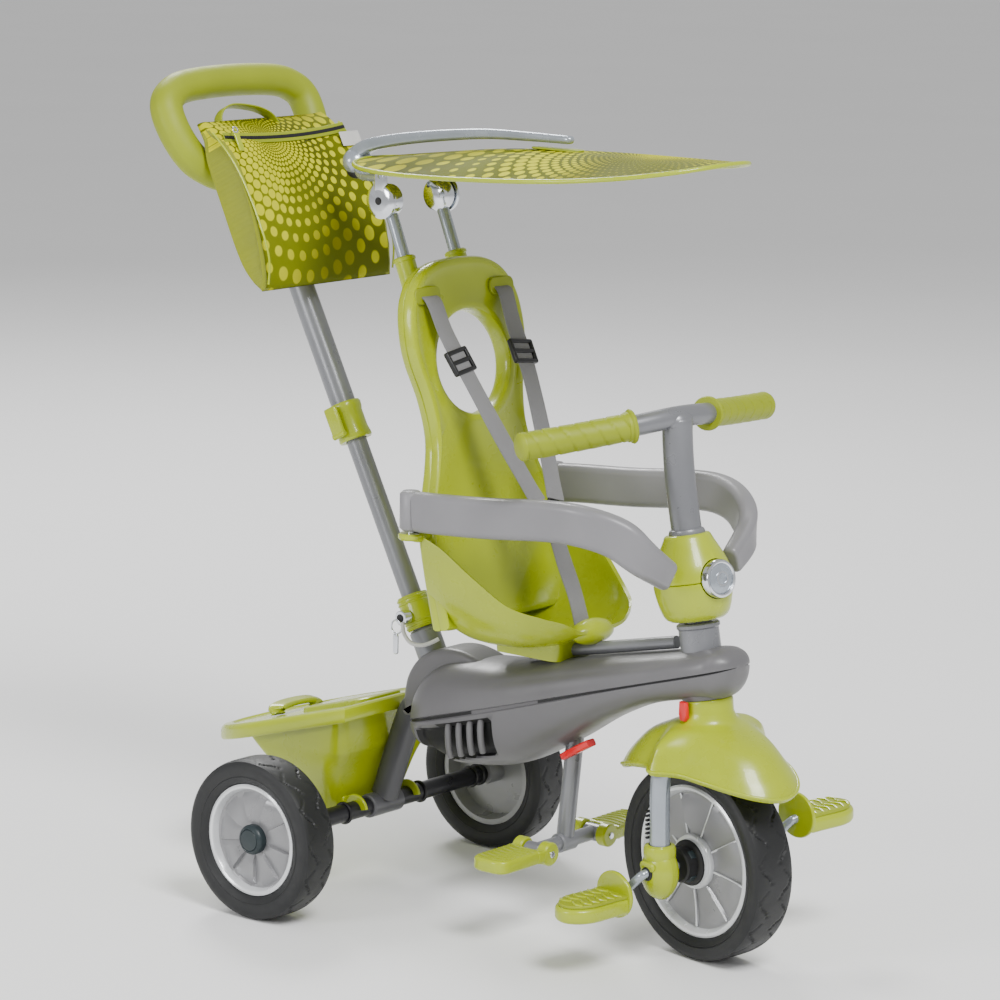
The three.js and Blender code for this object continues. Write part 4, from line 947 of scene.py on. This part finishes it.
def add_seat_back():
    back = place("seat_back_look", [(seat_back(), GREEN)], "frame", ("seat_back",))
    for sign in (-1, 1):
        slot = moved(shifted(block(27, 8, 80, 3.6), sign * 58, 334, 10), BACK_FRAME)
        carve(back, slot)
    parts = []
    for sign in (-1, 1):
        parts.append((rod(post_point(sign, -112), post_point(sign, -62), 10.5, 32, 2), GREEN))
        parts.append((rod(post_point(sign, -66), post_point(sign, -60), 11.6, 32, 1.6), GREEN))
        parts.append((rod(V(sign * 114, 292, 398), V(sign * 114, 292, 404.5), 12.6, 32, 1.6), GREEN))
        parts.append((shifted(block(26, 22, 9, 4), sign * 103, 291, 400), GREEN))
        parts.append((rod(V(sign * 114, 292, 402), V(sign * 114, 292, 438), 4, 20), CHROME))
        plate = moved(slab(rounded(19, 8.5, 7), 2.4, 0.9), Matrix.Translation((0, 0, 20.4)))
        plate = moved(plate, BACK_FRAME @ Matrix.Translation(V(sign * 58, 334, 0)))
        parts.append((plate, GREEN_SOFT))
    place("seat_back_fittings", parts, "frame", ())
    for side, sign in SIDES:
        parts = [(rod(post_point(sign, -91), post_point(sign, -2), 6.5, 28), SILVER),
                 (moved(lathe([(0.01, -8), (13, -7.6), (16.4, -5.4), (17, -3), (17, 3), (16.4, 5.4),
                               (13, 7), (0.01, 7)], 48),
                        Matrix.Translation(V(sign * 40, PIVOT.y, PIVOT.z)) @ ALONG_X), CHROME)]
        place(f"canopy_post_{side}_look", parts, "frame", (f"canopy_post_{side}",))


def bucket():
    stations = [(140, 44, 309, 318), (146, 58, 306, 324), (158, 72, 300, 329), (185, 92, 291, 340),
                (220, 105, 287, 366), (255, 110, 288, 390), (281, 110, 298, 400)]
    thick = 4.0
    count = 28
    rings = []
    for s in curve([Vector(station) for station in stations], 44):
        y, half, floor, rim = s
        outer, inner = [], []
        for i in range(count + 1):
            t = 2 * i / count - 1
            lift = abs(t) ** 3
            x = half * math.copysign(1 - (1 - abs(t)) ** 1.6, t)
            outer.append(V(x, y, floor + (rim - floor) * lift))
            inner.append(V(x * (1 - thick / half), y, floor + (rim - floor) * lift + thick * (1 - lift)))
        roll = [V(half * 1.006 * math.copysign(1, outer[-1].x), y, rim + 2.0)]
        rings.append(outer + roll + inner[::-1] + [V(-half * 1.006, y, rim + 2.0)])
    return geometry(rings)


def add_seat():
    skirt = geometry([[V(x, y, z) for x, y in rounded(30 - (300 - z) * 0.1, 42, 10)]
                      for z in (276.5, 280, 296)])
    skirt = shifted(skirt, 0, 213, 0)
    pommel = ball(V(0, 150, 308), 30, 15, 13, 36)
    place("seat_shell_look", [(bucket(), GREEN), (skirt, GREEN), (pommel, GREEN)], "frame",
          ("seat_shell",), sharp=45)
    for side, sign in SIDES:
        path = [V(114, 282, 427), V(117, 250, 429), V(117, 190, 433), V(117, 120, 440), V(114, 78, 440),
                V(101, 45, 431), V(84, 25, 412), V(52, 19, 393)]
        path = curve([V(sign * p.x, p.y, p.z) for p in path], 80)
        path, scales = with_domes(path, (0, 3), 3)

        def section(i, t):
            slim = smooth_step(t * 3.4 - 2.4)
            shape = rounded(10 - 1.5 * slim, 20 - 5.5 * slim, 7.5, 7)
            crease = [(s * (1 - 0.16 * math.exp(-(((u + 8) / 1.6) ** 2))), u) for s, u in shape]
            return [(s * (0.6 + 0.4 * scales[i]), u * (0.7 + 0.3 * scales[i]) - 2.5 * slim) for s, u in crease]

        rail = sweep(path, section, V(0, 0, 1))
        knuckle = rod(V(sign * 114, 292, 407), V(sign * 114, 292, 447), 11.4, 40, 3)
        place(f"armrest_{side}_look", [(rail, ARM_GREY), (knuckle, ARM_GREY)],
              f"armrest_{side}", (f"armrest_{side}",), sharp=50)


def strip(points, width, thick, steps):
    section = rounded(width / 2, thick / 2, thick * 0.45, 2)
    path = curve(points, steps)
    rings = []
    for i, point in enumerate(path):
        ahead = (path[min(i + 1, len(path) - 1)] - path[max(i - 1, 0)]).normalized()
        side = (V(1, 0, 0) - ahead * ahead.x).normalized()
        above = side.cross(ahead)
        ripple = 0.5 * math.sin(i * 0.35)
        rings.append([point + side * s + above * (u + ripple * s / width) for s, u in section])
    return geometry(rings), path


def slider(path, k, width):
    """Two-bar plastic slider lying on a strap."""
    point = path[k]
    ahead = (path[k + 1] - path[k - 1]).normalized()
    side = (V(1, 0, 0) - ahead * ahead.x).normalized()
    above = side.cross(ahead)
    turn = Matrix((side, ahead, above)).transposed().to_4x4()
    at = Matrix.Translation(point) @ turn
    long_bars = [shifted(block(width + 10, 4.6, 5.6, 1.8), 0, y, 0) for y in (-11, 0, 11)]
    cheeks = [shifted(block(4.6, 26, 5.6, 1.8), x, 0, 0) for x in (-width / 2 - 3, width / 2 + 3)]
    return [(moved(shape, at), BLACK) for shape in long_bars + cheeks]


def add_harness():
    for side, sign in SIDES:
        points = [(58, 338, 631.2), (57.5, 328, 632.6), (57, 321, 632.4), (56, 313.5, 626), (53, 300, 596),
                  (46, 274, 552), (32, 243, 494), (18, 218, 446), (13, 210, 432)]
        points = [V(sign * x, y, z) for x, y, z in points]
        band, path = strip(points, 23, 1.8, 90)
        parts = [(band, WEBBING)] + slider(path, 52, 23)
        place(f"harness_strap_{side}_look", parts, "frame", (f"harness_strap_{side}",))
    buckle_at = Matrix.Translation(V(0, 204, 412)) @ Matrix.Rotation(-0.42, 4, "X")
    outline = [(-22, 14), (-23, 4), (-17, -10), (-9, -16), (9, -16), (17, -10), (23, 4), (22, 14)]
    shell = moved(slab(outline, 11, 3.5, 4), Matrix.Translation((0, 5.5, 0)) @ Matrix.Rotation(
        math.pi / 2, 4, "X"))
    press = rod(V(0, -4.5, -1), V(0, -7.6, -1), 8.4, 32, 1.0)
    tongues = [shifted(block(15, 3, 12, 1.2), sign * 12, 0, 18) for sign in (-1, 1)]
    parts = [(moved(shell, buckle_at), BLACK), (moved(press, buckle_at), RED)]
    parts += [(moved(tongue, buckle_at), BLACK) for tongue in tongues]
    place("harness_buckle_look", parts, "frame", ("harness_buckle",))
    crotch, _ = strip([V(0, 198, 398), V(0, 188, 374), V(0, 173, 342), V(0, 163, 312), V(0, 162, 302)],
                      23, 1.8, 40)
    place("crotch_strap_look", [(crotch, WEBBING)], "frame", ("crotch_strap",))


# ------------------------------------------------------------------ canopy
def ridge_z(y):
    t = (y - CANOPY_FRONT) / (CANOPY_REAR - CANOPY_FRONT)
    return 786 - 28 * t ** 3


def canopy_point(share, turn_share):
    """Point of the cover: share from the ridge (0) to the rim (1), at an angle round the leaf."""
    a = 2 * math.pi * turn_share
    middle, reach = (CANOPY_FRONT + CANOPY_REAR) / 2, (CANOPY_REAR - CANOPY_FRONT) / 2
    dy = math.copysign(abs(math.cos(a)) ** 0.909, math.cos(a))
    dx = math.copysign(abs(math.sin(a)) ** 0.86, math.sin(a))
    x, y = share * CANOPY_HALF * dx, middle + share * reach * dy
    sag = 2.2 * math.sin(math.pi * share) * (0.6 + 0.4 * math.cos(6 * a))
    return V(x, y, ridge_z(y) - 22 * (x / CANOPY_HALF) ** 2 - sag)


def add_canopy():
    count, rows = 144, 34
    rings = [[canopy_point(max(0.02, k / rows), i / count) + V(0, 0, 0.7) for i in range(count)]
             for k in range(rows + 1)]
    under = [[p - V(0, 0, 1.4) for p in ring] for ring in rings]
    cover = geometry(rings + under[::-1])
    fan = Vector((0.0, (92 + SHIFT.y) * MM, 0.0))
    cloth = printed("canopy_print", fan, (1, 0, 0), (0, 1, 0), 60.0)
    sheet = place("canopy_cover", [(cover, cloth)], "canopy", ("canopy_fabric",))
    rim = [canopy_point(1.0, i / count) for i in range(count)]
    piping = sweep(rim, lambda i, t: circle(2.4, 12), V(0, 0, 1), closed=True)
    pad = slab([(x, y) for x, y in rounded(9, 30, 8)], 1.6, 0.6)
    pad = shifted(pad, 0, 205, ridge_z(205) + 0.6)
    place("canopy_rim", [(piping, GREEN), (pad, GREEN_SOFT)], "canopy", ())
    parts = [(ball(V(0, 467, 753), 17, 14, 14, 36), SILVER),
             (ball(V(0, 468, 744), 11, 10, 9, 28), DARK)]
    arm = curve([V(0, 468, 760), V(0, 448, 771), V(0, 400, 781), V(0, 340, 789), V(0, 290, 793.5),
                 V(0, 240, 794.5), V(0, 191, 794.5)], 50)
    arm, scales = with_domes(arm, (0, 5))

    def section(i, t):
        outline = rounded(9.5 - 4.5 * t, 7.2 - 3.4 * t, 3.4)
        return [(s * scales[i], u * scales[i]) for s, u in outline]

    parts.append((sweep(arm, section, V(0, 0, 1)), SILVER))
    for sign in (-1, 1):
        x = sign * 50.6
        disc = [(0.01, 3.6), (10, 3.4), (16, 2.4), (18.2, 0.6), (18.5, -1.5), (18, -3.2), (0.01, -3.2)]
        at = Matrix.Translation(V(x, PIVOT.y, PIVOT.z)) @ Matrix.Diagonal((sign, 1, 1, 1)) @ ALONG_X
        parts.append((moved(lathe(disc, 56), at), CHROME))
        parts.append((rod(V(x + sign * 3.2, PIVOT.y, PIVOT.z), V(x + sign * 4.4, PIVOT.y, PIVOT.z), 4, 20, 0.5),
                      DARK))
        parts.append((shifted(block(6.4, 15, 26, 3), x, PIVOT.y, PIVOT.z + 20), CHROME))
        side = [V(0, 469, 748), V(sign * 22, 442, 742), V(sign * 42, 410, 744),
                V(x, PIVOT.y - 2, PIVOT.z + 25)]
        parts.append((tube(side, 4.5, 30, 16), SILVER))
    place("canopy_frame_look", parts, "canopy", ("canopy_frame",))


# ------------------------------------------------------------------ parent handle
def handle_line():
    top, bottom, wide = 641, 533, 120
    middle, rise = (top + bottom) / 2, (top - bottom) / 2
    points = []
    for i in range(16):
        a = 2 * math.pi * i / 16
        soft = lambda t, n: math.copysign(abs(t) ** n, t)
        narrow = 1 - 0.13 * (1 - math.sin(a))
        points.append(pole_point(middle + rise * soft(math.sin(a), 0.72),
                                 wide * narrow * soft(math.cos(a), 0.62)))
    return curve(points, 160, closed=True)


def add_poles():
    place("pole_lower_look", [(rod(pole_point(-8), pole_point(380), 10.7, 32), PAINT)], "frame",
          ("pole_lower",))
    collar = lathe([(11, 28), (15.4, 28), (16.6, 29.5), (16.6, 62), (15.4, 64), (11, 64)], 48,
                   lambda a, r, h, k: (r - (0.9 if r > 15 and (h * 0.2) % 1 < 0.3 else 0), h))
    ribs = [lathe([(16.4, h - 1.4), (17.3, h - 0.5), (17.3, h + 0.5), (16.4, h + 1.4)], 48)
            for h in (31, 35.5, 56.5, 61)]
    to_pole = Matrix.Translation(POLE_BASE) @ POLE_DIR.to_track_quat("Z", "Y").to_matrix().to_4x4()
    parts = [(moved(shape, to_pole), GREEN) for shape in [collar] + ribs]
    place("pole_collar_look", parts, "frame", ("pole_collar",))
    pin = pole_point(43)
    ear = lambda x0, x1, r, look: (rod(V(x0, pin.y, pin.z), V(x1, pin.y, pin.z), r, 28, 0.8), look)
    place("lock_pin_look", [ear(-27, 17.5, 3.9, CHROME), ear(-29, -18, 7.6, CHROME),
                            ear(-30, -28.6, 4.4, DARK)], "lock_pin", ("lock_pin",))
    ring_line = [V(-31, pin.y + 3 + 7 * math.cos(a), pin.z - 9 + 7 * math.sin(a))
                 for a in (2 * math.pi * k / 40 for k in range(40))]
    ring = sweep(ring_line, lambda i, t: circle(0.9, 10), V(1, 0, 0), closed=True)
    clip = moved(slab(rounded(3.2, 11, 3), 2.4, 0.8), Matrix.Translation(V(-32, pin.y + 4, pin.z - 27))
                 @ Matrix.Rotation(math.pi / 2, 4, "Y") @ Matrix.Rotation(math.pi / 2, 4, "Z"))
    place("pin_clip_look", [(ring, CHROME), (clip, CHROME)], "lock_pin", ("pin_clip",))
    line = [V(-31, pin.y - 5, pin.z - 3), V(-32, pin.y - 8, pin.z - 14), V(-31, pin.y - 17, pin.z - 23),
            V(-27, pin.y - 29, pin.z - 24), V(-21, pin.y - 38, pin.z - 20), V(-17, pin.y - 42, pin.z - 17)]
    line = curve(line, 60)
    cord = place("tether_cord_look", [(sweep(line, lambda i, t: circle(2.1, 14)), CORD)], "lock_pin",
                 ("tether_cord",))


def add_handle():
    upper = [(rod(pole_point(240), pole_point(521), 13.2, 36), PAINT)]
    place("pole_upper_look", upper, "push_handle", ("pole_upper",))
    to_pole = Matrix.Translation(POLE_BASE) @ POLE_DIR.to_track_quat("Z", "Y").to_matrix().to_4x4()
    clamp = lathe([(11.5, 236), (16.8, 236), (17.8, 238), (17.2, 243), (16.4, 247), (16.4, 265), (17.4, 269),
                   (17.8, 274), (16.6, 276), (13.6, 276)], 48)
    place("pole_clamp_look", [(moved(clamp, to_pole), GREEN)],
          "push_handle", ("pole_clamp",))
    hinge = pole_point(244, -22.4)
    tilt = math.atan2(POLE_DIR.y, POLE_DIR.z)
    at = Matrix.Translation(hinge) @ Matrix.Rotation(-tilt, 4, "X")
    lever = shifted(block(5, 17, 31, 2.2), 0, 0, 15)
    barrel = rod(V(0, -8.5, 0), V(0, 8.5, 0), 3.2, 20)
    place("clamp_lever_look", [(moved(lever, at), GREEN), (moved(barrel, at), GREEN)], "clamp_lever",
          ("clamp_lever",))
    line = handle_line()

    def foam(i, t):
        out = []
        for x, y in circle(17, 40):
            r = 1 - 0.035 * math.exp(-((math.atan2(y, x) / 0.05) ** 2))
            out.append((x * r, y * r))
        return out

    grip = sweep(line, foam, POLE_FRONT, closed=True)
    neck = tube([pole_point(500), pole_point(512), pole_point(530)], 15.6, 10, 36, (3, 0))
    place("handle_foam", [(grip, GREEN_SOFT), (neck, GREEN_SOFT)], "push_handle", ("handle_grip",),
                sharp=60)


BAG_LEVELS = ((398, 99, 35, 37), (402, 99.5, 31, 41), (412, 100, 25.5, 46), (430, 100, 20, 52),
              (455, 100, 18.5, 58), (490, 99, 18.5, 61), (525, 98, 18.5, 60), (552, 97, 18.5, 54),
              (574, 95, 18.5, 43), (588, 93, 18.5, 31))


def bag_shell():
    """Slack bag: a full front over tucked gussets, closed to a crisp edge at the bottom."""
    rings = []
    for s, half, back, front in curve([Vector(level) for level in BAG_LEVELS], 72):
        depth = (front - back) / 2
        middle = (front + back) / 2
        outline = rounded(half, depth, min(depth * 0.9, 5 + 9 * smooth_step((s - 540) / 40)), 8)
        slack = smooth_step((590 - s) / 40) * smooth_step((s - 400) / 30)
        ring = []
        for x, n in densify(outline, 8, 34):
            fold = noise.noise(Vector((x * 0.022, s * 0.010, 3.0)))
            crease = noise.noise(Vector((x * 0.05 + s * 0.035, s * 0.008 - x * 0.01, 9.0)))
            lift = (fold * 5.0 - 2.2 * abs(crease)) * slack
            droop = -5.0 * (1 - (x / 100) ** 2) * smooth_step((s - 540) / 48)
            tuck = 5.0 * slack * (1 - (n / max(depth, 1)) ** 2) * (abs(x) > half - 0.6)
            x -= math.copysign(tuck, x)
            ring.append(pole_point(s + droop, x, middle + n + (lift - 1.5 if n > 0 else 0)))
        rings.append(ring)
    return geometry(rings)


def densify(outline, n, pieces):
    """Splits the two long edges of a rounded outline whose corners have n steps."""
    out = []
    for i, (ax, ay) in enumerate(outline):
        bx, by = outline[(i + 1) % len(outline)]
        count = pieces if i in (n, 3 * n + 2) else 1
        out += [(ax + (bx - ax) * k / count, ay + (by - ay) * k / count) for k in range(count)]
    return out


def bag_front(s, x):
    for (s0, _, _, f0), (s1, _, _, f1) in zip(BAG_LEVELS, BAG_LEVELS[1:]):
        if s0 <= s <= s1:
            front = f0 + (f1 - f0) * (s - s0) / (s1 - s0)
            return pole_point(s, x, front + 0.4)
    return pole_point(s, x, BAG_LEVELS[-1][3])


def add_bag():
    centre = pole_point(560, -28, 60)
    fan = tuple((centre + SHIFT) * MM)
    cloth = printed("bag_print", fan, (1, 0, 0), tuple(POLE_DIR), 46.0)
    gusset, front_cloth = split_by(bag_shell(), lambda p: abs(p.x) > 93.5)
    place("bag_look", [(front_cloth, cloth), (gusset, GREEN_CLOTH)], "push_handle", ("bag_body",),
          sharp=50)
    parts = []
    zip_line = [bag_front(561 - 6 * (1 - (x / 92) ** 2), x) + POLE_FRONT * 0.2 for x in range(-92, 93, 8)]
    tape = sweep(curve(zip_line, 60), lambda i, t: rounded(5.5, 0.9, 0.8, 2), POLE_FRONT)
    parts.append((tape, GREEN_SOFT))
    parts.append((sweep(curve([p + POLE_FRONT * 0.5 for p in zip_line], 120),
                        lambda i, t: rounded(2.0, 1.0 if i % 2 else 0.6, 0.5, 2), POLE_FRONT), BLACK))
    for x in (-96.5, 96.5):
        seam = [pole_point(s, x, n) for s, n in ((402, 44), (430, 58), (480, 61), (530, 56), (570, 42))]
        parts.append((tube(seam, 1.1, 40, 8), GREEN))
    tag = moved(slab(rounded(15, 8, 1.2), 0.7, 0.3), Matrix.Translation(bag_front(545, 88) + POLE_FRONT)
                @ POLE_FRONT.to_track_quat("Z", "Y").to_matrix().to_4x4())
    parts.append((tag, WHITE))
    loop = [pole_point(578, -64, 22), pole_point(594, -60, 25), pole_point(602, -44, 28),
            pole_point(597, -14, 31), pole_point(588, 6, 31), pole_point(576, 14, 30)]
    parts.append((sweep(curve(loop, 50), lambda i, t: rounded(0.9, 6, 0.8, 2), POLE_FRONT), GREEN_SOFT))
    place("bag_trim", parts, "push_handle", ())
    at = pole_point(556, -82, 58.6)
    tilt = math.atan2(POLE_DIR.y, POLE_DIR.z)
    puller = block(7, 2.2, 20, 1.0)
    turns = [2 * math.pi * k / 24 for k in range(24)]
    ring = [V(3.2 * math.cos(a), -0.4, 9 + 3.2 * math.sin(a)) for a in turns]
    ring = sweep(ring, lambda i, t: circle(0.8, 8), V(0, 1, 0), closed=True)
    fit = Matrix.Translation(at) @ Matrix.Rotation(-tilt, 4, "X")
    place("zip_puller_look", [(moved(shifted(puller, 0, 0, -4), fit), GREEN), (moved(ring, fit), CHROME)],
          "zip_puller", ("zip_puller",))


# ------------------------------------------------------------------ bin
def lid_top(y):
    return 203 - 0.28 * (y - LID_HINGE_Y)


def lid_outline(d):
    line = [(-86 + d, LID_HINGE_Y + d), (86 - d, LID_HINGE_Y + d)]
    line += [(86 - d + 8 * k / 5, LID_HINGE_Y + d + (118 - d) * k / 5) for k in range(1, 5)]
    line += [((94 - d) * math.cos(a), 520 + (104 - d) * math.sin(a))
             for a in (math.pi * k / 36 for k in range(37))]
    line += [(-86 + d - 8 * k / 5, LID_HINGE_Y + d + (118 - d) * k / 5) for k in range(4, 0, -1)]
    return line


def add_bin():
    rings = []
    for d, drop in ((3.4, 15.5), (1.6, 15.8), (0.4, 14.6), (0.0, 12.0), (0.0, 6.0), (0.9, 2.4), (3.2, 0.5),
                    (8.0, 0.0), (12.0, 0.0), (14.0, 1.6), (26.0, 1.8)):
        rings.append([V(x, y, lid_top(y) - drop) for x, y in lid_outline(d)])
    under = [[V(x, y, lid_top(y) - drop) for x, y in lid_outline(d)]
             for d, drop in ((3.4, 15.5), (4.0, 6.0), (26.0, 4.6))]
    lid = geometry(under[::-1] + rings[1:])
    handle = [V(-30, 545, lid_top(545)), V(-27, 549, lid_top(549) + 7), V(0, 553, lid_top(553) + 9),
              V(27, 549, lid_top(549) + 7), V(30, 545, lid_top(545))]
    grip = sweep(curve(handle, 36), lambda i, t: rounded(9, 3, 2.6), V(0, 0, 1))
    panel = [(x, y) for x, y in rounded(34, 46, 14)]
    raised = [[V(x, y + 468, lid_top(y + 468) + up) for x, y in inset(panel, d)]
              for d, up in ((0, -2), (0.6, 1.8), (2.4, 3.0))]
    parts = [(lid, GREEN), (grip, GREEN), (geometry(raised), GREEN)]
    place("bin_lid_look", parts, "bin_lid", ("bin_lid",))

    def ring(level, d):
        z, front, rear, half = level
        out = []
        for x, y in rounded(half - d, (rear - front) / 2 - d, 16, 8):
            wave = 1.2 * math.sin(y * 0.21) * (1 if abs(x) > half - 6 else 0)
            at_y = y + (rear + front) / 2
            height = z if z < 150 else lid_top(at_y) - 5.2
            out.append(V(x + wave, at_y, height))
        return out

    levels = [(78, 446, 508, 58), (84, 443, 513, 61), (125, 430, 530, 71), (160, 411, 564, 79)]
    fine = [tuple(v) for v in curve([Vector(level) for level in levels], 24)]
    outer = [ring(level, 0) for level in fine]
    base = [ring(levels[0], d) for d in (8, 3)]
    inner = [ring(level, 2.6) for level in reversed(fine[2:])]
    floor = [[V(p.x * 0.9, 477 + (p.y - 477) * 0.9, 82.5) for p in ring(levels[0], 2.6)]]
    tub = geometry(base + outer + inner + floor)
    parts = [(tub, GREEN)]
    for x in (-42, 42):
        hook = [V(x, WHEELBASE + 12.2 * math.cos(a), REAR_R + 12.2 * math.sin(a))
                for a in (math.pi * (k / 24 * 1.3 - 0.35) for k in range(25))]
        parts.append((sweep(hook, lambda i, t: rounded(4.5, 1.9, 1.2), V(1, 0, 0)), GREEN))
        parts.append((shifted(block(9, 16, 15, 3), x, WHEELBASE + 21, REAR_R + 5), GREEN))
    place("bin_tub_look", parts, "bin", ("bin_tub",), sharp=50)


# ------------------------------------------------------------------ foot rest
def add_foot_rest():
    y, z = 180, 86
    parts = [(rod(V(0, 168, 205), V(0, y - 0.5, z + 6), 9, 32), PAINT),
             (rod(V(-12, y, z), V(12, y, z), 10, 32, 1.5), PAINT)]
    place("footrest_post_look", parts, "frame", ("footrest_post",))
    parts = [(rod(V(-46, y, z), V(46, y, z), 7.5, 28), PAINT)]
    for sign in (-1, 1):
        parts.append((rod(V(sign * 48, y - 9.4, z), V(sign * 48, y + 9.4, z), 9, 32, 1.2), PAINT))
        parts.append((rod(V(sign * 48, y - 23.5, z), V(sign * 48, y + 23.5, z), 3.6, 20, 0.8), CHROME))
    place("footrest_cross_look", parts, "frame", ("footrest_cross_tube",))
    for side, sign in SIDES:
        outline = [(61, -21), (100, -22), (118, -20.5), (125, -12), (126, 0), (125, 12), (118, 20.5),
                   (100, 22), (61, 21)]
        outline = [tuple(p) for p in curve([Vector(p) for p in outline], 40)]
        deck = slab(outline, 13.6, 3.4, 4)
        parts = [(shifted(deck, 0, 0, -6.8), GREEN)]
        for k in range(7):
            bent = [V(68 + k * 8, -17, 6.6), V(72 + k * 8, 0, 6.8), V(68 + k * 8, 17, 6.6)]
            rib = tube(bent, 1.2, 12, 8, (1, 1))
            parts.append((rib, GREEN_SOFT))
        for end in (-1, 1):
            parts.append((rod(V(48, end * 10, 0), V(48, end * 22, 0), 12, 36, 1.6), GREEN))
            parts.append((shifted(block(22, 11.5, 13, 2.6), 58, end * 16, 0), GREEN))
        fit = Matrix.Translation(V(0, y, z)) @ Matrix.Diagonal((sign, 1, 1, 1))
        place(f"foot_plate_{side}_look", [(moved(shape, fit), look) for shape, look in parts],
              f"foot_plate_{side}", (f"foot_plate_{side}",))
    latch_at = Matrix.Translation(V(-18.5, 152, 189.5)) @ Matrix.Rotation(math.atan(-0.586), 4, "X")
    outline = [(-6.5, -20.5), (6.5, -20.5), (6.5, 12), (3.5, 20.5), (-3.5, 20.5), (-6.5, 12)]
    latch = shifted(slab(outline, 7.6, 2.0, 3), 0, 0, -3.8)
    place("footrest_latch_look", [(moved(latch, latch_at), RED)], "footrest_latch", ("footrest_latch",))


# ------------------------------------------------------------------ stage
def add_stage():
    mesh = bpy.data.meshes.new("floor")
    reach = 30.0
    mesh.from_pydata([(-reach, -reach, 0), (reach, -reach, 0), (reach, reach, 0), (-reach, reach, 0)], [],
                     [(0, 1, 2, 3)])
    floor = bpy.data.objects.new("floor", mesh)
    bpy.context.scene.collection.objects.link(floor)
    look = Look("floor")
    tint = look.mix(look.noise(1.5, 2.0), (0.86, 0.86, 0.86, 1), (0.90, 0.90, 0.90, 1))
    mesh.materials.append(look.set(Base_Color=tint, Roughness=0.8))
    world = bpy.data.worlds.new("studio")
    world.use_nodes = True
    world.node_tree.nodes["Background"].inputs["Color"].default_value = (1, 1, 1, 1)
    world.node_tree.nodes["Background"].inputs["Strength"].default_value = 0.62
    bpy.context.scene.world = world
    lamps = (("key", (-1.2, -2.4, 3.4), 170, 1.3), ("side", (-3.0, 0.8, 1.4), 38, 1.0),
             ("back", (1.8, 2.4, 2.8), 95, 1.2))
    for name, at, power, size in lamps:
        data = bpy.data.lights.new(name, "AREA")
        data.energy = power
        data.size = size
        lamp = bpy.data.objects.new(name, data)
        lamp.location = at
        lamp.rotation_euler = (Vector((0, 0, 0.35)) - Vector(at)).to_track_quat("-Z", "Y").to_euler()
        bpy.context.scene.collection.objects.link(lamp)


def add_camera():
    data = bpy.data.cameras.new("camera")
    data.lens = 143.4
    data.sensor_width = 36.0
    camera = bpy.data.objects.new("camera", data)
    at = (V(-3064.2, -2226.7, 1164.1) + SHIFT) * MM
    target = (V(-26.1, 250.1, 431.3) + SHIFT) * MM
    roll = Matrix.Rotation(math.radians(0.90), 4, "Z").to_quaternion()
    turn = (target - at).to_track_quat("-Z", "Y") @ roll
    camera.location = at
    camera.rotation_euler = turn.to_euler()
    bpy.context.scene.collection.objects.link(camera)
    bpy.context.scene.camera = camera


add_body()
add_axle()
for wheel_side, wheel_sign in SIDES:
    rear_wheel(wheel_side, wheel_sign)
front_wheel()
add_fork()
add_fender()
add_handlebar()
add_steering_cover()
add_crank()
add_seat_back()
add_seat()
add_harness()
add_canopy()
add_poles()
add_handle()
add_bag()
add_bin()
add_foot_rest()
add_stage()
add_camera()
